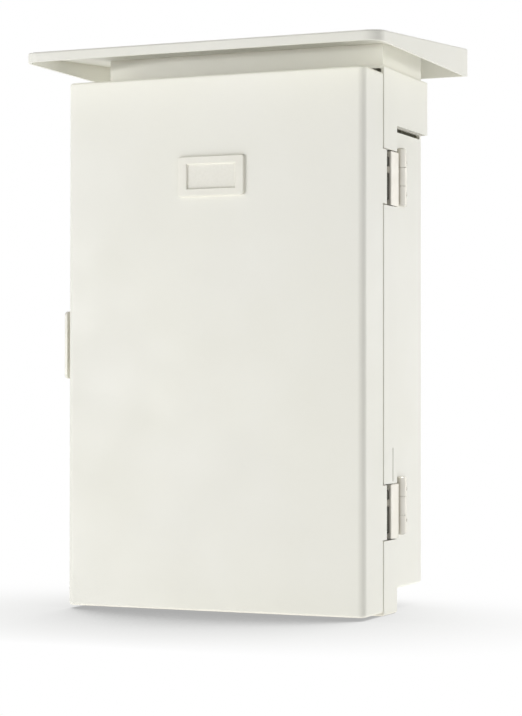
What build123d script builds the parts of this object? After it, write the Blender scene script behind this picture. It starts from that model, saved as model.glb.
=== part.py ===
# Wall or pole mounted outdoor cabinet: a moulded tub with a rain gutter rim, a deep hinged
# door, a shed roof with a hollow underside, vent hoods on both sides, a snap latch on the
# left, two cranked stainless hinges on the right, and two lipped rails at the back.
# Frame: millimetres, +Z up, front towards -Y. The origin is the centre of the wall fixing
# pattern, on the plane where the rails meet the wall.
from build123d import *
import os

os.makedirs("parts", exist_ok=True)

# Tub
tub_width = 283.0
tub_height = 504.0
tub_depth = 110.0
tub_wall = 3.0
tub_edge_radius = 3.2
tub_inner_radius = 1.5

# Door, a deep lid in front of the tub
door_beyond_tub = 8.5
door_below_tub_top = 26.5
door_depth = 48.5
door_wall = 3.0
door_front_radius = 6.5
door_corner_radius = 2.5
door_inner_radius = 1.5
door_back_edge = 0.8
door_below_tub = 16.5

# Rain gutter rim round the mouth of the tub
seam_gap = 2.5
rim_depth = 37.0
rim_lap = 17.0
rim_wall = 3.0
rim_back_edge = 2.2
rim_above_door = 7.5
rim_below_door = 3.0
mouth_side_gap = 5.5
mouth_reach = 37.0
drain_length = 14.0
drain_width = 4.5
drain_from_side = 60.0

# Gasket and the pair of ribs that holds it in the door
gasket_width = 5.8
gasket_height = 7.7
gasket_gap = 0.3
rib_wall = 2.0
rib_slot = 6.0
rib_above_seat = 5.0
spacer_pitch = 58.0
panel_rib_height = 7.0
panel_rib_wall = 2.0
panel_rib_pitch = 110.0

# Roof
roof_overhang_side = 28.0
roof_overhang_front = 38.0
roof_drop = 10.3
roof_front_height = 9.0
roof_back_height = 27.5
roof_wall = 3.0
roof_corner_radius = 15.0
roof_edge_radius = 2.0
roof_boss_radius = 8.0
roof_boss_from_side = 31.5
roof_boss_from_front = 24.0
roof_boss_from_back = 21.0
roof_rib_wall = 2.5
roof_seat_wall = 2.5
roof_rib_spacing = 150.0

# Side vents and their hoods
vent_slot_height = 4.0
vent_slot_short_of_hood = 5.35
vent_slot_pitch = 9.0
vent_slot_count = 5
hood_depth = 6.5
hood_wall = 2.0
hood_edge_radius = 1.5
hood_bottom_below_rim_top = 51.5
hood_end_gap = 0.3
hood_back_margin = 1.0
hood_boss_radius = 3.5
hood_boss_below_top = 8.0
hood_boss_inset = 14.0
screen_frame = 4.0
screen_lap = 1.3
screen_thickness = 1.6
screen_mesh_thickness = 0.8
screen_hole = 6.0
screen_pitch = 8.0

# Hinges
hinge_length = 52.0
hinge_from_rim_end = 98.25
hinge_barrel_radius = 5.0
hinge_pin_radius = 3.0
hinge_running_gap = 0.05
hinge_knuckle_gap = 0.5
hinge_leaf_thickness = 2.0
hinge_barrel_off_tub = 0.3
hinge_behind_rim = 18.0
hinge_body_leaf_length = 26.0
hinge_strap_height = 50.0
hinge_strap_inset = 0.5
hinge_strap_turn_from_rim_back = 14.0
hinge_joggle_behind_rim = 2.6
hinge_strap_drop = 4.0
hinge_arm_height = 40.0
hinge_bend_find = 0.05
hinge_seal_split_low = 5.0
hinge_seal_split_high = 11.0
hinge_seal_reach = 17.0
hinge_arm_off_tub = 1.5
hinge_arm_end_from_seam = 16.5
hinge_notch_gap = 1.0
hinge_barrel_clear = 0.6
hinge_tab_reach = 10.0
hinge_tab_wall = 2.8
hinge_screw_pitch = 30.0
hinge_arm_screw_pitch = 24.0
hinge_pin_head_radius = 4.2
hinge_pin_head = 1.5
hinge_pin_dome = 0.9
slit_height = 31.0
slit_width = 2.0
slit_above_notch = 2.0

# Latch on the left
latch_height = 64.0
latch_z_from_door_middle = 1.0
latch_base_thickness = 2.5
latch_base_height = 62.0
latch_base_inset = 3.0
latch_ear = 5.0
latch_ear_radius = 3.5
latch_pin_radius = 2.0
latch_running_gap = 0.05
latch_pivot_off_rim = 6.3
latch_pivot_from_rim_back = 10.0
latch_plate = 3.0
latch_reach = 66.0
latch_knuckle_gap = 0.4
latch_lip_width = 5.0
latch_lip_gap = 0.3
latch_corner_radius = 4.0
latch_edge_radius = 1.0
keeper_height = 44.0
keeper_width = 24.0
keeper_plate = 2.0
keeper_ridge = 2.4
keeper_ridge_width = 6.0
keeper_crest_radius = 1.5
keeper_front_land = 10.0
keeper_from_door_back = 8.0
latch_screw_pitch = 40.0
keeper_screw_pitch = 28.0

# Name plate holder on the door
frame_width = 66.0
frame_height = 37.0
frame_window_width = 48.0
frame_window_height = 22.0
frame_thickness = 3.0
frame_corner_radius = 2.5
frame_edge = 1.0
frame_from_door_top = 93.5
card_thickness = 1.0

# Mounting plate inside
plate_side_gap = 16.5
plate_end_gap = 12.0
plate_thickness = 2.0
plate_stand = 10.0
plate_corner_radius = 4.0
plate_boss_radius = 8.0
plate_boss_inset_x = 12.0
plate_boss_inset_z = 12.5

# Rails at the back
rail_short_of_tub = 13.5
rail_depth = 31.0
rail_height = 40.0
rail_wall = 2.5
rail_lip = 9.5
rail_from_tub_end = 52.0
wall_hole_radius = 4.5
wall_hole_from_end = 28.0
band_slot_length = 30.0
band_slot_width = 11.0
band_slot_spacing = 80.0
rail_bolt_from_end = 53.0
rail_nut_length = 20.0
rail_nut_gap = 0.5
rail_nut_thickness = 6.0
nut_below_bolt_end = 2.0

# Fasteners: shank radius, head radius, head height
m8 = (4.0, 6.5, 5.5)
m6 = (3.0, 5.5, 4.0)
m5 = (2.5, 4.5, 3.2)
m4 = (2.0, 3.8, 2.6)
m3 = (1.5, 2.8, 2.0)
washer_thickness = 1.6
washer_over_head = 1.5
roof_screw_bite = 5.0
plate_screw_bite = 8.0
hood_screw_bite = 5.0
leaf_screw_bite = 2.6
keeper_screw_bite = 2.6
arm_screw_bite = 4.0

# Cable entries in the floor of the tub
entry_radius = 16.0
entry_from_side = 86.5
grommet_flange = 4.0
grommet_flange_thickness = 3.0
grommet_recess = 2.0
grommet_funnel = 1.5
grommet_membrane = 1.5
grommet_wall = 3.0

# Places that follow from the sizes above
tub_half = tub_width / 2
door_width = tub_width + 2 * door_beyond_tub
door_height = tub_height + door_below_tub - door_below_tub_top
roof_width = door_width + 2 * roof_overhang_side
tub_top = tub_height / 2
tub_bottom = -tub_height / 2
tub_back = -rail_depth
tub_front = tub_back - tub_depth
rim_back = tub_front + rim_lap
rim_front = rim_back - rim_depth
door_back = rim_front - seam_gap
door_front = door_back - door_depth
door_half = door_width / 2
door_bottom = tub_bottom - door_below_tub
door_top = door_bottom + door_height
door_middle = (door_top + door_bottom) / 2
rim_top = door_top + rim_above_door
rim_bottom = door_bottom - rim_below_door
rim_middle = (rim_top + rim_bottom) / 2
mouth_half = tub_half
mouth_top = door_top - door_wall - mouth_side_gap
mouth_front = tub_front - mouth_reach
mouth_middle = (mouth_top + tub_bottom) / 2
mouth_height = mouth_top - tub_bottom
roof_bottom = tub_top - roof_drop
roof_front = door_front - roof_overhang_front
roof_slope = (roof_back_height - roof_front_height) / -roof_front
hood_bottom = rim_top - hood_bottom_below_rim_top
hood_front = rim_back + hood_end_gap
hood_back = tub_back - hood_back_margin
vent_middle_y = (hood_front + hood_back) / 2
vent_slot_length = hood_back - hood_front - 2 * vent_slot_short_of_hood
axis_x = tub_half + hinge_barrel_radius + hinge_barrel_off_tub
axis_y = rim_back + hinge_behind_rim
knuckle_height = (hinge_length - 2 * hinge_knuckle_gap) / 3
hinge_heights = [rim_top - hinge_from_rim_end, rim_bottom + hinge_from_rim_end]
latch_z = door_middle - latch_z_from_door_middle
latch_axis_x = -door_half - latch_pivot_off_rim
latch_axis_y = rim_back - latch_pivot_from_rim_back
rail_heights = [tub_top - rail_from_tub_end, tub_bottom + rail_from_tub_end]
rail_length = tub_width - 2 * rail_short_of_tub
wall_hole_spacing = rail_length - 2 * wall_hole_from_end
rail_bolt_spacing = rail_length - 2 * rail_bolt_from_end
entry_spacing = tub_width - 2 * entry_from_side
drain_spacing = door_width - 2 * drain_from_side
plate_front = tub_back - tub_wall - plate_stand - plate_thickness
plate_width = tub_width - 2 * plate_side_gap
plate_height = mouth_height - 2 * plate_end_gap
cut_margin = 1.0
skin_left = 0.4
head_slope = 3.0


def slab(width, height, y_front, y_back, z_middle, radius=0.0, x_middle=0.0):
    """A block that is width by height seen from the front, with rounded outline corners."""
    place = Plane(origin=(x_middle, y_back, z_middle), x_dir=(1, 0, 0), z_dir=(0, -1, 0))
    outline = RectangleRounded(width, height, radius) if radius else Rectangle(width, height)
    return extrude(place * outline, y_back - y_front)


def block(x_low, x_high, y_low, y_high, z_low, z_high):
    """A plain block between six planes."""
    middle = Pos((x_low + x_high) / 2, (y_low + y_high) / 2, (z_low + z_high) / 2)
    return middle * Box(x_high - x_low, y_high - y_low, z_high - z_low)


def rod_x(radius, x_low, x_high, y, z):
    """A cylinder along X."""
    return Pos((x_low + x_high) / 2, y, z) * Rot(0, 90, 0) * Cylinder(radius, x_high - x_low)


def rod_y(radius, y_low, y_high, x, z):
    """A cylinder along Y."""
    return Pos(x, (y_low + y_high) / 2, z) * Rot(90, 0, 0) * Cylinder(radius, y_high - y_low)


def rod_z(radius, z_low, z_high, x, y):
    """A cylinder along Z."""
    return Pos(x, y, (z_low + z_high) / 2) * Cylinder(radius, z_high - z_low)


def frame_points(spacing_a, spacing_b, middle_a=0.0, middle_b=0.0):
    """The four corners of a fixing pattern."""
    return [
        (middle_a + a * spacing_a / 2, middle_b + b * spacing_b / 2)
        for a in (1, -1)
        for b in (1, -1)
    ]


def save(solid, name):
    """Write one sub-part."""
    solid.label = name
    export_step(solid, f"parts/{name}.step")


# Fixing points shared by the pieces that they join
roof_points = [
    (side * (tub_half - roof_boss_from_side), y)
    for side in (1, -1)
    for y in (tub_front + roof_boss_from_front, tub_back - roof_boss_from_back)
]
plate_points = frame_points(
    plate_width - 2 * plate_boss_inset_x, plate_height - 2 * plate_boss_inset_z, 0.0, mouth_middle
)
rail_points = [(side * rail_bolt_spacing / 2, z) for side in (1, -1) for z in rail_heights]
hood_points_y = [hood_front + hood_boss_inset, hood_back - hood_boss_inset]
hood_boss_z = rim_top - hood_boss_below_top
vent_heights = [
    hood_bottom - vent_slot_height / 2 + row * vent_slot_pitch for row in range(vent_slot_count)
]
leaf_screw_y = axis_y + hinge_body_leaf_length - 2 * m4[1]
arm_screw_y = door_back - hinge_arm_end_from_seam / 2
arm_inner = tub_half + hinge_arm_off_tub
strap_outer = door_half - hinge_strap_inset
strap_turn = rim_back - hinge_strap_turn_from_rim_back
strap_heights = [z - hinge_strap_drop for z in hinge_heights]
latch_screw_y = (rim_front + latch_base_inset + latch_axis_y - latch_ear_radius) / 2
keeper_back = door_back - keeper_from_door_back
keeper_front = keeper_back - keeper_width
keeper_ridge_back = keeper_front + keeper_front_land + keeper_ridge_width


def hinge_notches():
    """Openings in the right wall of the rim that the hinge arms pass through."""
    half = hinge_strap_height / 2 + hinge_notch_gap
    x_low = strap_outer - hinge_leaf_thickness - hinge_notch_gap
    cuts = []
    for z in strap_heights:
        y_low = rim_front - cut_margin
        y_high = rim_back + cut_margin
        cuts.append(block(x_low, door_half + cut_margin, y_low, y_high, z - half, z + half))
    low = strap_heights[-1] + half + slit_above_notch
    slit_y = strap_turn
    cuts.append(
        block(x_low, door_half + cut_margin, slit_y, slit_y + slit_width, low, low + slit_height)
    )
    return cuts


def vent_slots():
    """Rows of horizontal slots through both side walls, under the hoods."""
    half = vent_slot_length / 2
    cuts = []
    for side in (1, -1):
        for z in vent_heights:
            place = Plane(
                origin=(side * (tub_half - 2 * tub_wall), vent_middle_y, z),
                x_dir=(0, 1, 0),
                z_dir=(side, 0, 0),
            )
            slot = SlotOverall(2 * half, vent_slot_height)
            cuts.append(extrude(place * slot, 4 * tub_wall))
        for y in hood_points_y:
            x_ends = sorted((side * (tub_half - 2 * tub_wall), side * (tub_half + cut_margin)))
            cuts.append(rod_x(m3[0], *x_ends, y, hood_boss_z))
    return cuts


def tub_shell():
    """The outer form: tub box, mouth duct and gutter rim, hollowed."""
    box = slab(tub_width, tub_height, tub_front, tub_back, 0.0)
    low_edges = box.edges().filter_by(Axis.Y).group_by(Axis.Z)[0]
    back = box.faces().sort_by(Axis.Y)[-1].edges()
    back_edges = back.filter_by(Axis.Z) + back.filter_by(Axis.X).sort_by(Axis.Z)[:1]
    box = fillet(low_edges + back_edges, tub_edge_radius)
    duct = slab(tub_width, mouth_height, mouth_front, tub_front, mouth_middle, tub_edge_radius)
    rim_height = rim_top - rim_bottom
    rim = slab(door_width, rim_height, rim_front, rim_back, rim_middle, door_corner_radius)
    rim = fillet(rim.faces().sort_by(Axis.Y)[-1].edges(), rim_back_edge)
    rim = fillet(rim.faces().sort_by(Axis.Y)[0].edges(), door_back_edge)
    rim -= slab(
        door_width - 2 * rim_wall,
        rim_height - 2 * rim_wall,
        rim_front - cut_margin,
        rim_back - rim_wall,
        rim_middle,
        door_inner_radius,
    )
    over_tub = block(
        -tub_half, tub_half, tub_front, rim_back + cut_margin, mouth_top, rim_top + cut_margin
    )
    shell = (rim - over_tub) + box + duct
    cavity = slab(
        tub_width - 2 * tub_wall,
        tub_height - 2 * tub_wall,
        tub_front + tub_wall,
        tub_back - tub_wall,
        0.0,
        tub_inner_radius,
    )
    mouth = slab(
        tub_width - 2 * tub_wall,
        mouth_height - 2 * tub_wall,
        mouth_front - cut_margin,
        tub_front + 2 * tub_wall,
        mouth_middle,
        tub_inner_radius,
    )
    return shell - cavity - mouth


def make_tub():
    """The moulded tub with its bosses, vents, notches and holes."""
    tub = tub_shell()
    inner_back = tub_back - tub_wall
    for x, z in plate_points:
        tub += rod_y(plate_boss_radius, inner_back - plate_stand, inner_back, x, z)
    for x, z in plate_points:
        tub -= rod_y(m5[0], inner_back - plate_stand - cut_margin, inner_back - cut_margin, x, z)
    for x, z in rail_points:
        tub -= rod_y(m8[0], inner_back - cut_margin, tub_back + cut_margin, x, z)
    for x, y in roof_points:
        tub -= rod_z(m6[0], tub_top - 2 * tub_wall, tub_top + cut_margin, x, y)
    for side in (1, -1):
        x = side * entry_spacing / 2
        high = tub_bottom + 2 * tub_wall
        tub -= rod_z(entry_radius, tub_bottom - cut_margin, high, x, vent_middle_y)
        x = side * drain_spacing / 2
        y = (rim_front + tub_front) / 2
        tub -= Pos(x, y, rim_bottom) * Box(drain_length, drain_width, 4 * rim_wall)
    for cut in hinge_notches() + vent_slots():
        tub -= cut
    for z in hinge_heights:
        for dz in (1, -1):
            z_screw = z + dz * hinge_screw_pitch / 2
            x_low = tub_half - leaf_screw_bite
            tub -= rod_x(m4[0], x_low, tub_half + cut_margin, leaf_screw_y, z_screw)
    for dz in (1, -1):
        z = latch_z + dz * latch_screw_pitch / 2
        x_end = -door_half + rim_wall - skin_left
        tub -= rod_x(m4[0], -door_half - cut_margin, x_end, latch_screw_y, z)
    return tub


def wedge(inset, bottom):
    """The roof's side profile drawn inwards by inset, extruded across its width."""
    front = roof_front + inset
    back = -inset
    top_front = roof_bottom + roof_front_height + roof_slope * inset - inset
    top_back = roof_bottom + roof_back_height - roof_slope * inset - inset
    outline = make_face(
        Polyline((front, bottom), (back, bottom), (back, top_back), (front, top_front), close=True)
    )
    half = roof_width / 2 - inset
    solid = extrude(Plane.YZ.offset(-half) * outline, 2 * half)
    uprights = solid.edges().filter_by(Axis.Z).group_by(Axis.Y)[0]
    return fillet(uprights, roof_corner_radius - inset)


def soffit_z(y):
    """Height of the roof's inner surface at a depth y."""
    return roof_bottom + roof_front_height + roof_slope * (y - roof_front) - roof_wall


def roof_seat():
    """Skirt under the roof, as wide and deep as the tub, that stands on the tub's top."""
    profile = make_face(
        Polyline(
            (tub_front, tub_top),
            (tub_back, tub_top),
            (tub_back, soffit_z(tub_back) + roof_wall / 2),
            (tub_front, soffit_z(tub_front) + roof_wall / 2),
            close=True,
        )
    )
    skirt = extrude(Plane.YZ.offset(-tub_half) * profile, tub_width)
    skirt = fillet(skirt.edges().filter_by(Axis.Z).group_by(Axis.Y)[-1], tub_edge_radius)
    high = roof_bottom + roof_back_height
    skirt -= block(
        roof_seat_wall - tub_half,
        tub_half - roof_seat_wall,
        tub_front + roof_seat_wall,
        tub_back - roof_seat_wall,
        tub_top - cut_margin,
        high,
    )
    return skirt


def make_roof():
    """Hollow shed roof with bosses and ribs that stand on the top of the tub."""
    outer = wedge(0.0, roof_bottom)
    top_edges = outer.faces().sort_by(Axis.Z)[-1].edges()
    outer = fillet(top_edges, roof_edge_radius)
    inner = wedge(roof_wall, roof_bottom - cut_margin)
    roof = outer - inner
    roof += roof_seat()
    for x, y in roof_points:
        roof += rod_z(roof_boss_radius, tub_top, soffit_z(y) + roof_wall / 2, x, y)
    for side in (1, -1):
        x = side * roof_rib_spacing / 2
        rib_back = tub_back - tub_edge_radius
        rib_front = tub_front + tub_edge_radius
        profile = make_face(
            Polyline(
                (rib_front, tub_top),
                (rib_back, tub_top),
                (rib_back, soffit_z(rib_back) + roof_wall / 2),
                (rib_front, soffit_z(rib_front) + roof_wall / 2),
                close=True,
            )
        )
        roof += extrude(Plane.YZ.offset(x - roof_rib_wall / 2) * profile, roof_rib_wall)
    for x, y in roof_points:
        roof -= rod_z(m6[0], tub_top - cut_margin, tub_top + roof_screw_bite, x, y)
    return roof


def screw_z(size, z_seat, z_end, x, y):
    """A pan head screw that points up, its head below the seat."""
    shank, head, height = size
    body = rod_z(shank, z_seat, z_end, x, y)
    cap = rod_z(head, z_seat - height, z_seat, x, y)
    cap = chamfer(cap.faces().sort_by(Axis.Z)[0].edges(), height / head_slope)
    return body + cap


def screw_y(size, y_seat, y_end, x, z):
    """A pan head screw that points back, its head in front of the seat."""
    shank, head, height = size
    body = rod_y(shank, y_seat, y_end, x, z)
    cap = rod_y(head, y_seat - height, y_seat, x, z)
    cap = chamfer(cap.faces().sort_by(Axis.Y)[0].edges(), height / head_slope)
    return body + cap


def screw_x(size, x_seat, x_end, y, z):
    """A pan head screw along X, its head on the side away from x_end."""
    shank, head, height = size
    way = 1 if x_end > x_seat else -1
    body = rod_x(shank, *sorted((x_seat, x_end)), y, z)
    cap = rod_x(head, *sorted((x_seat, x_seat - way * height)), y, z)
    outer = cap.faces().sort_by(Axis.X)[0 if way > 0 else -1]
    return body + chamfer(outer.edges(), height / head_slope)


def ring_z(outer, inner, z_low, z_high, x, y):
    """A washer with its axis along Z."""
    hole = rod_z(inner, z_low - cut_margin, z_high + cut_margin, x, y)
    return rod_z(outer, z_low, z_high, x, y) - hole


def ring_y(outer, inner, y_low, y_high, x, z):
    """A washer with its axis along Y."""
    hole = rod_y(inner, y_low - cut_margin, y_high + cut_margin, x, z)
    return rod_y(outer, y_low, y_high, x, z) - hole


def make_roof_fixings():
    """Screws from inside the tub into the roof bosses, each on a sealing washer."""
    seat = tub_top - tub_wall - washer_thickness
    screws = [screw_z(m6, seat, tub_top + roof_screw_bite, x, y) for x, y in roof_points]
    washers = [
        ring_z(m6[1] + washer_over_head, m6[0], seat, tub_top - tub_wall, x, y)
        for x, y in roof_points
    ]
    return Compound(children=screws), Compound(children=washers)


def make_hood(side):
    """Vent hood, open at the bottom, with two screw bosses that reach the tub wall."""
    inner = tub_half
    outer = tub_half + hood_depth
    hood = block(inner, outer, hood_front, hood_back, hood_bottom, rim_top)
    outer_face = hood.faces().sort_by(Axis.X)[-1]
    soft = outer_face.edges().filter_by(Axis.Z) + outer_face.edges().sort_by(Axis.Z)[-1:]
    hood = fillet(soft, hood_edge_radius)
    hood -= block(
        inner - cut_margin,
        outer - hood_wall,
        hood_front + hood_wall,
        hood_back - hood_wall,
        hood_bottom - cut_margin,
        rim_top - hood_wall,
    )
    for y in hood_points_y:
        hood += rod_x(hood_boss_radius, inner, outer - hood_wall / 2, y, hood_boss_z)
    for y in hood_points_y:
        hood -= rod_x(m3[0], inner - cut_margin, inner + hood_screw_bite, y, hood_boss_z)
    return hood if side > 0 else mirror(hood, Plane.YZ)


def make_screen(side):
    """Insect screen in a frame on the inner face of the tub wall, held by the hood screws."""
    outer = tub_half - tub_wall
    half_length = vent_slot_length / 2 + screen_lap
    low = vent_heights[0] - vent_slot_height / 2 - screen_frame
    high = hood_boss_z + m3[1] + screen_frame / 2
    y_low = vent_middle_y - half_length
    y_high = vent_middle_y + half_length
    frame = block(outer - screen_thickness, outer, y_low, y_high, low, high)
    mesh_top = hood_boss_z - m3[1] - screen_frame / 2
    frame -= block(
        outer - screen_thickness - cut_margin,
        outer - screen_mesh_thickness,
        y_low + screen_frame,
        y_high - screen_frame,
        low + screen_frame,
        mesh_top,
    )
    columns = int((2 * half_length - 2 * screen_frame) // screen_pitch)
    rows = int((mesh_top - low - screen_frame) // screen_pitch)
    place = Plane(
        origin=(outer - 2 * screen_thickness, vent_middle_y, (mesh_top + low + screen_frame) / 2),
        x_dir=(0, 1, 0),
        z_dir=(1, 0, 0),
    )
    holes = GridLocations(screen_pitch, screen_pitch, columns, rows) * Rectangle(
        screen_hole, screen_hole
    )
    frame -= extrude(place * Sketch(children=list(holes)), 3 * screen_thickness)
    for y in hood_points_y:
        frame -= rod_x(m3[0], outer - 2 * screen_thickness, outer + cut_margin, y, hood_boss_z)
    return frame if side > 0 else mirror(frame, Plane.YZ)


def make_hood_screws():
    """Screws from inside through screen and wall into the hood bosses."""
    seat = tub_half - tub_wall - screen_thickness
    screws = []
    for side in (1, -1):
        for y in hood_points_y:
            end = side * (tub_half + hood_screw_bite)
            screws.append(screw_x(m3, side * seat, end, y, hood_boss_z))
    return Compound(children=screws)


def gasket_ring(offset, y_front, y_back):
    """A block as wide as the mouth's middle line, drawn outwards by offset."""
    width = tub_width - tub_wall + 2 * offset
    height = mouth_height - tub_wall + 2 * offset
    return slab(width, height, y_front, y_back, mouth_middle, tub_edge_radius)


def ring_between(outer_offset, inner_offset, y_front, y_back):
    """A frame that runs round the mouth's middle line."""
    hole = gasket_ring(inner_offset, y_front - cut_margin, y_back + cut_margin)
    return gasket_ring(outer_offset, y_front, y_back) - hole


gasket_back = mouth_front - gasket_gap
gasket_front = gasket_back - gasket_height
panel_inner = door_front + door_wall
rib_back = gasket_front + rib_above_seat


def seat_spacers():
    """Short cross ribs that carry the gasket between its two long ribs."""
    half_w = (tub_width - tub_wall) / 2
    half_h = (mouth_height - tub_wall) / 2
    reach = rib_slot / 2 + rib_wall / 2
    spacers = []
    thin = rib_wall / 2
    for side in (1, -1):
        x = side * half_w
        for k in range(-3, 4):
            z = mouth_middle + k * spacer_pitch
            spacers.append(
                block(x - reach, x + reach, panel_inner, gasket_front, z - thin, z + thin)
            )
        z = mouth_middle + side * half_h
        for k in range(-2, 3):
            x = k * spacer_pitch
            spacers.append(
                block(x - thin, x + thin, panel_inner, gasket_front, z - reach, z + reach)
            )
    return spacers


def panel_ribs():
    """Low stiffening ribs across the inner face of the door panel."""
    inner_half = (tub_width - tub_wall) / 2 - rib_slot / 2 - rib_wall / 2
    inner_high = (mouth_height - tub_wall) / 2 - rib_slot / 2 - rib_wall / 2
    back = panel_inner + panel_rib_height
    ribs = []
    for k in (-1.5, -0.5, 0.5, 1.5):
        z = mouth_middle + k * panel_rib_pitch
        half = panel_rib_wall / 2
        ribs.append(block(-inner_half, inner_half, panel_inner, back, z - half, z + half))
    for side in (1, -1):
        x = side * panel_rib_pitch / 2
        half = panel_rib_wall / 2
        low = mouth_middle - inner_high
        high = mouth_middle + inner_high
        ribs.append(block(x - half, x + half, panel_inner, back, low, high))
    return ribs


def soft_slab(width, height, y_front, y_back, side_radius, end_radius):
    """The door's form: upright front edges of one radius, top and bottom edges of another."""
    form = slab(width, height, y_front, y_back, door_middle)
    form = fillet(form.faces().sort_by(Axis.Y)[0].edges().filter_by(Axis.Z), side_radius)
    ends = form.faces().filter_by(Axis.Z).edges()
    back = form.faces().sort_by(Axis.Y)[-1].edges()
    return fillet([edge for edge in ends if edge not in back], end_radius)


def make_door():
    """Deep moulded door with gasket ribs, hinge pads and the two tabs that fill the notches."""
    door = soft_slab(
        door_width, door_height, door_front, door_back, door_front_radius, door_corner_radius
    )
    door = fillet(door.faces().sort_by(Axis.Y)[-1].edges(), door_back_edge)
    door -= soft_slab(
        door_width - 2 * door_wall,
        door_height - 2 * door_wall,
        panel_inner,
        door_back + cut_margin,
        door_front_radius - door_wall,
        door_inner_radius,
    )
    rib_offset = rib_slot / 2
    door += ring_between(rib_offset + rib_wall, rib_offset, panel_inner, rib_back)
    door += ring_between(-rib_offset, -rib_offset - rib_wall, panel_inner, rib_back)
    for piece in seat_spacers() + panel_ribs():
        door += piece
    pad_inner = arm_inner + hinge_leaf_thickness
    pad_half = hinge_arm_height / 2
    tab_half = hinge_strap_height / 2
    for z in strap_heights:
        pad_front = door_back - hinge_arm_end_from_seam
        low = z - pad_half
        high = z + pad_half
        door += block(pad_inner, door_half - door_wall, pad_front, door_back, low, high)
        tab_back = door_back + hinge_tab_reach
        x_low = door_half - hinge_tab_wall
        tab_root = door_back - 2 * door_back_edge
        door += block(x_low, door_half, tab_root, tab_back, z - tab_half, z + tab_half)
        for dz in (1, -1):
            z_screw = z + dz * hinge_arm_screw_pitch / 2
            x_end = pad_inner + arm_screw_bite
            door -= rod_x(m4[0], pad_inner - cut_margin, x_end, arm_screw_y, z_screw)
    for dz in (1, -1):
        z = latch_z + dz * keeper_screw_pitch / 2
        y = (keeper_back + keeper_ridge_back) / 2
        door -= rod_x(m3[0], -door_half - cut_margin, -door_half + keeper_screw_bite, y, z)
    return door


def make_gasket():
    """The seal in the door that meets the edge of the tub's mouth."""
    return ring_between(gasket_width / 2, -gasket_width / 2, gasket_front, gasket_back)


def make_frame():
    """Name plate holder: a raised frame with a bevelled window."""
    z = door_top - frame_from_door_top
    front = door_front - frame_thickness
    frame = slab(frame_width, frame_height, front, door_front, z, frame_corner_radius)
    frame = fillet(frame.faces().sort_by(Axis.Y)[0].edges(), frame_edge)
    window = slab(
        frame_window_width, frame_window_height, front - cut_margin, door_front + cut_margin, z
    )
    frame -= window
    inner = frame.faces().sort_by(Axis.Y)[0].inner_wires()[0].edges()
    return chamfer(inner, frame_edge)


def make_card():
    """Blank card in the window of the holder."""
    z = door_top - frame_from_door_top
    return slab(
        frame_window_width, frame_window_height, door_front - card_thickness, door_front, z
    )


def make_body_leaf(z):
    """Hinge leaf on the tub side: a plate with the two outer knuckles."""
    half = hinge_length / 2
    inner = tub_half
    outer = tub_half + hinge_leaf_thickness
    y_clear = axis_y + hinge_barrel_radius + hinge_barrel_clear
    y_end = axis_y + hinge_body_leaf_length
    leaf = block(inner, outer, y_clear, y_end, z - half, z + half)
    leaf = fillet(leaf.edges().filter_by(Axis.X).group_by(Axis.Y)[-1], hinge_leaf_thickness)
    for side in (1, -1):
        ends = sorted((z + side * half, z + side * (half - knuckle_height)))
        leaf += block(inner, outer, axis_y, y_clear, *ends)
        leaf += rod_z(hinge_barrel_radius, *ends, axis_x, axis_y)
    low = z - half - cut_margin
    high = z + half + cut_margin
    leaf -= rod_z(hinge_pin_radius, low, high, axis_x, axis_y)
    for dz in (1, -1):
        z_screw = z + dz * hinge_screw_pitch / 2
        leaf -= rod_x(m4[0], inner - cut_margin, outer + cut_margin, leaf_screw_y, z_screw)
    return leaf


def make_door_leaf(z):
    """Cranked hinge leaf: middle knuckle, strap flush in the notch, and an arm in the door."""
    half = hinge_strap_height / 2
    arm_half = hinge_arm_height / 2
    knuckle_half = knuckle_height / 2
    z_strap = z - hinge_strap_drop
    low = z_strap - half
    high = z_strap + half
    strap_inner = strap_outer - hinge_leaf_thickness
    barrel_front = axis_y - hinge_barrel_radius - hinge_barrel_clear
    root_inner = axis_x - hinge_barrel_radius
    root_outer = root_inner + hinge_leaf_thickness
    joggle_front = rim_back + hinge_joggle_behind_rim
    joggle_back = joggle_front + hinge_leaf_thickness
    leaf = rod_z(hinge_barrel_radius, z - knuckle_half, z + knuckle_half, axis_x, axis_y)
    leaf += block(root_inner, root_outer, barrel_front, axis_y, z - knuckle_half, z + knuckle_half)
    leaf += block(root_inner, root_outer, joggle_front, barrel_front, low, high)
    leaf += block(root_inner, strap_outer, joggle_front, joggle_back, low, high)
    leaf += block(strap_inner, strap_outer, strap_turn, joggle_back, low, high)
    turn_front = strap_turn - hinge_leaf_thickness
    leaf += block(arm_inner, strap_outer, turn_front, strap_turn, low, high)
    arm_front = door_back - hinge_arm_end_from_seam
    arm_outer = arm_inner + hinge_leaf_thickness
    low = z_strap - arm_half
    high = z_strap + arm_half
    leaf += block(arm_inner, arm_outer, arm_front, turn_front, low, high)
    on_outside = leaf.edges().filter_by(Axis.Z).filter_by_position(
        Axis.X, strap_outer - hinge_bend_find, strap_outer + hinge_bend_find
    )
    bends = on_outside.group_by(Axis.Y)[0] + on_outside.filter_by_position(
        Axis.Y, joggle_back - hinge_bend_find, joggle_back + hinge_bend_find
    )
    leaf = fillet(bends, hinge_leaf_thickness / 2)
    bore = hinge_pin_radius + hinge_running_gap
    leaf -= rod_z(bore, z - knuckle_half - cut_margin, z + knuckle_half + cut_margin, axis_x, axis_y)
    for dz in (1, -1):
        z_screw = z_strap + dz * hinge_arm_screw_pitch / 2
        leaf -= countersunk_x(arm_inner, arm_outer, arm_screw_y, z_screw)
    return leaf


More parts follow.
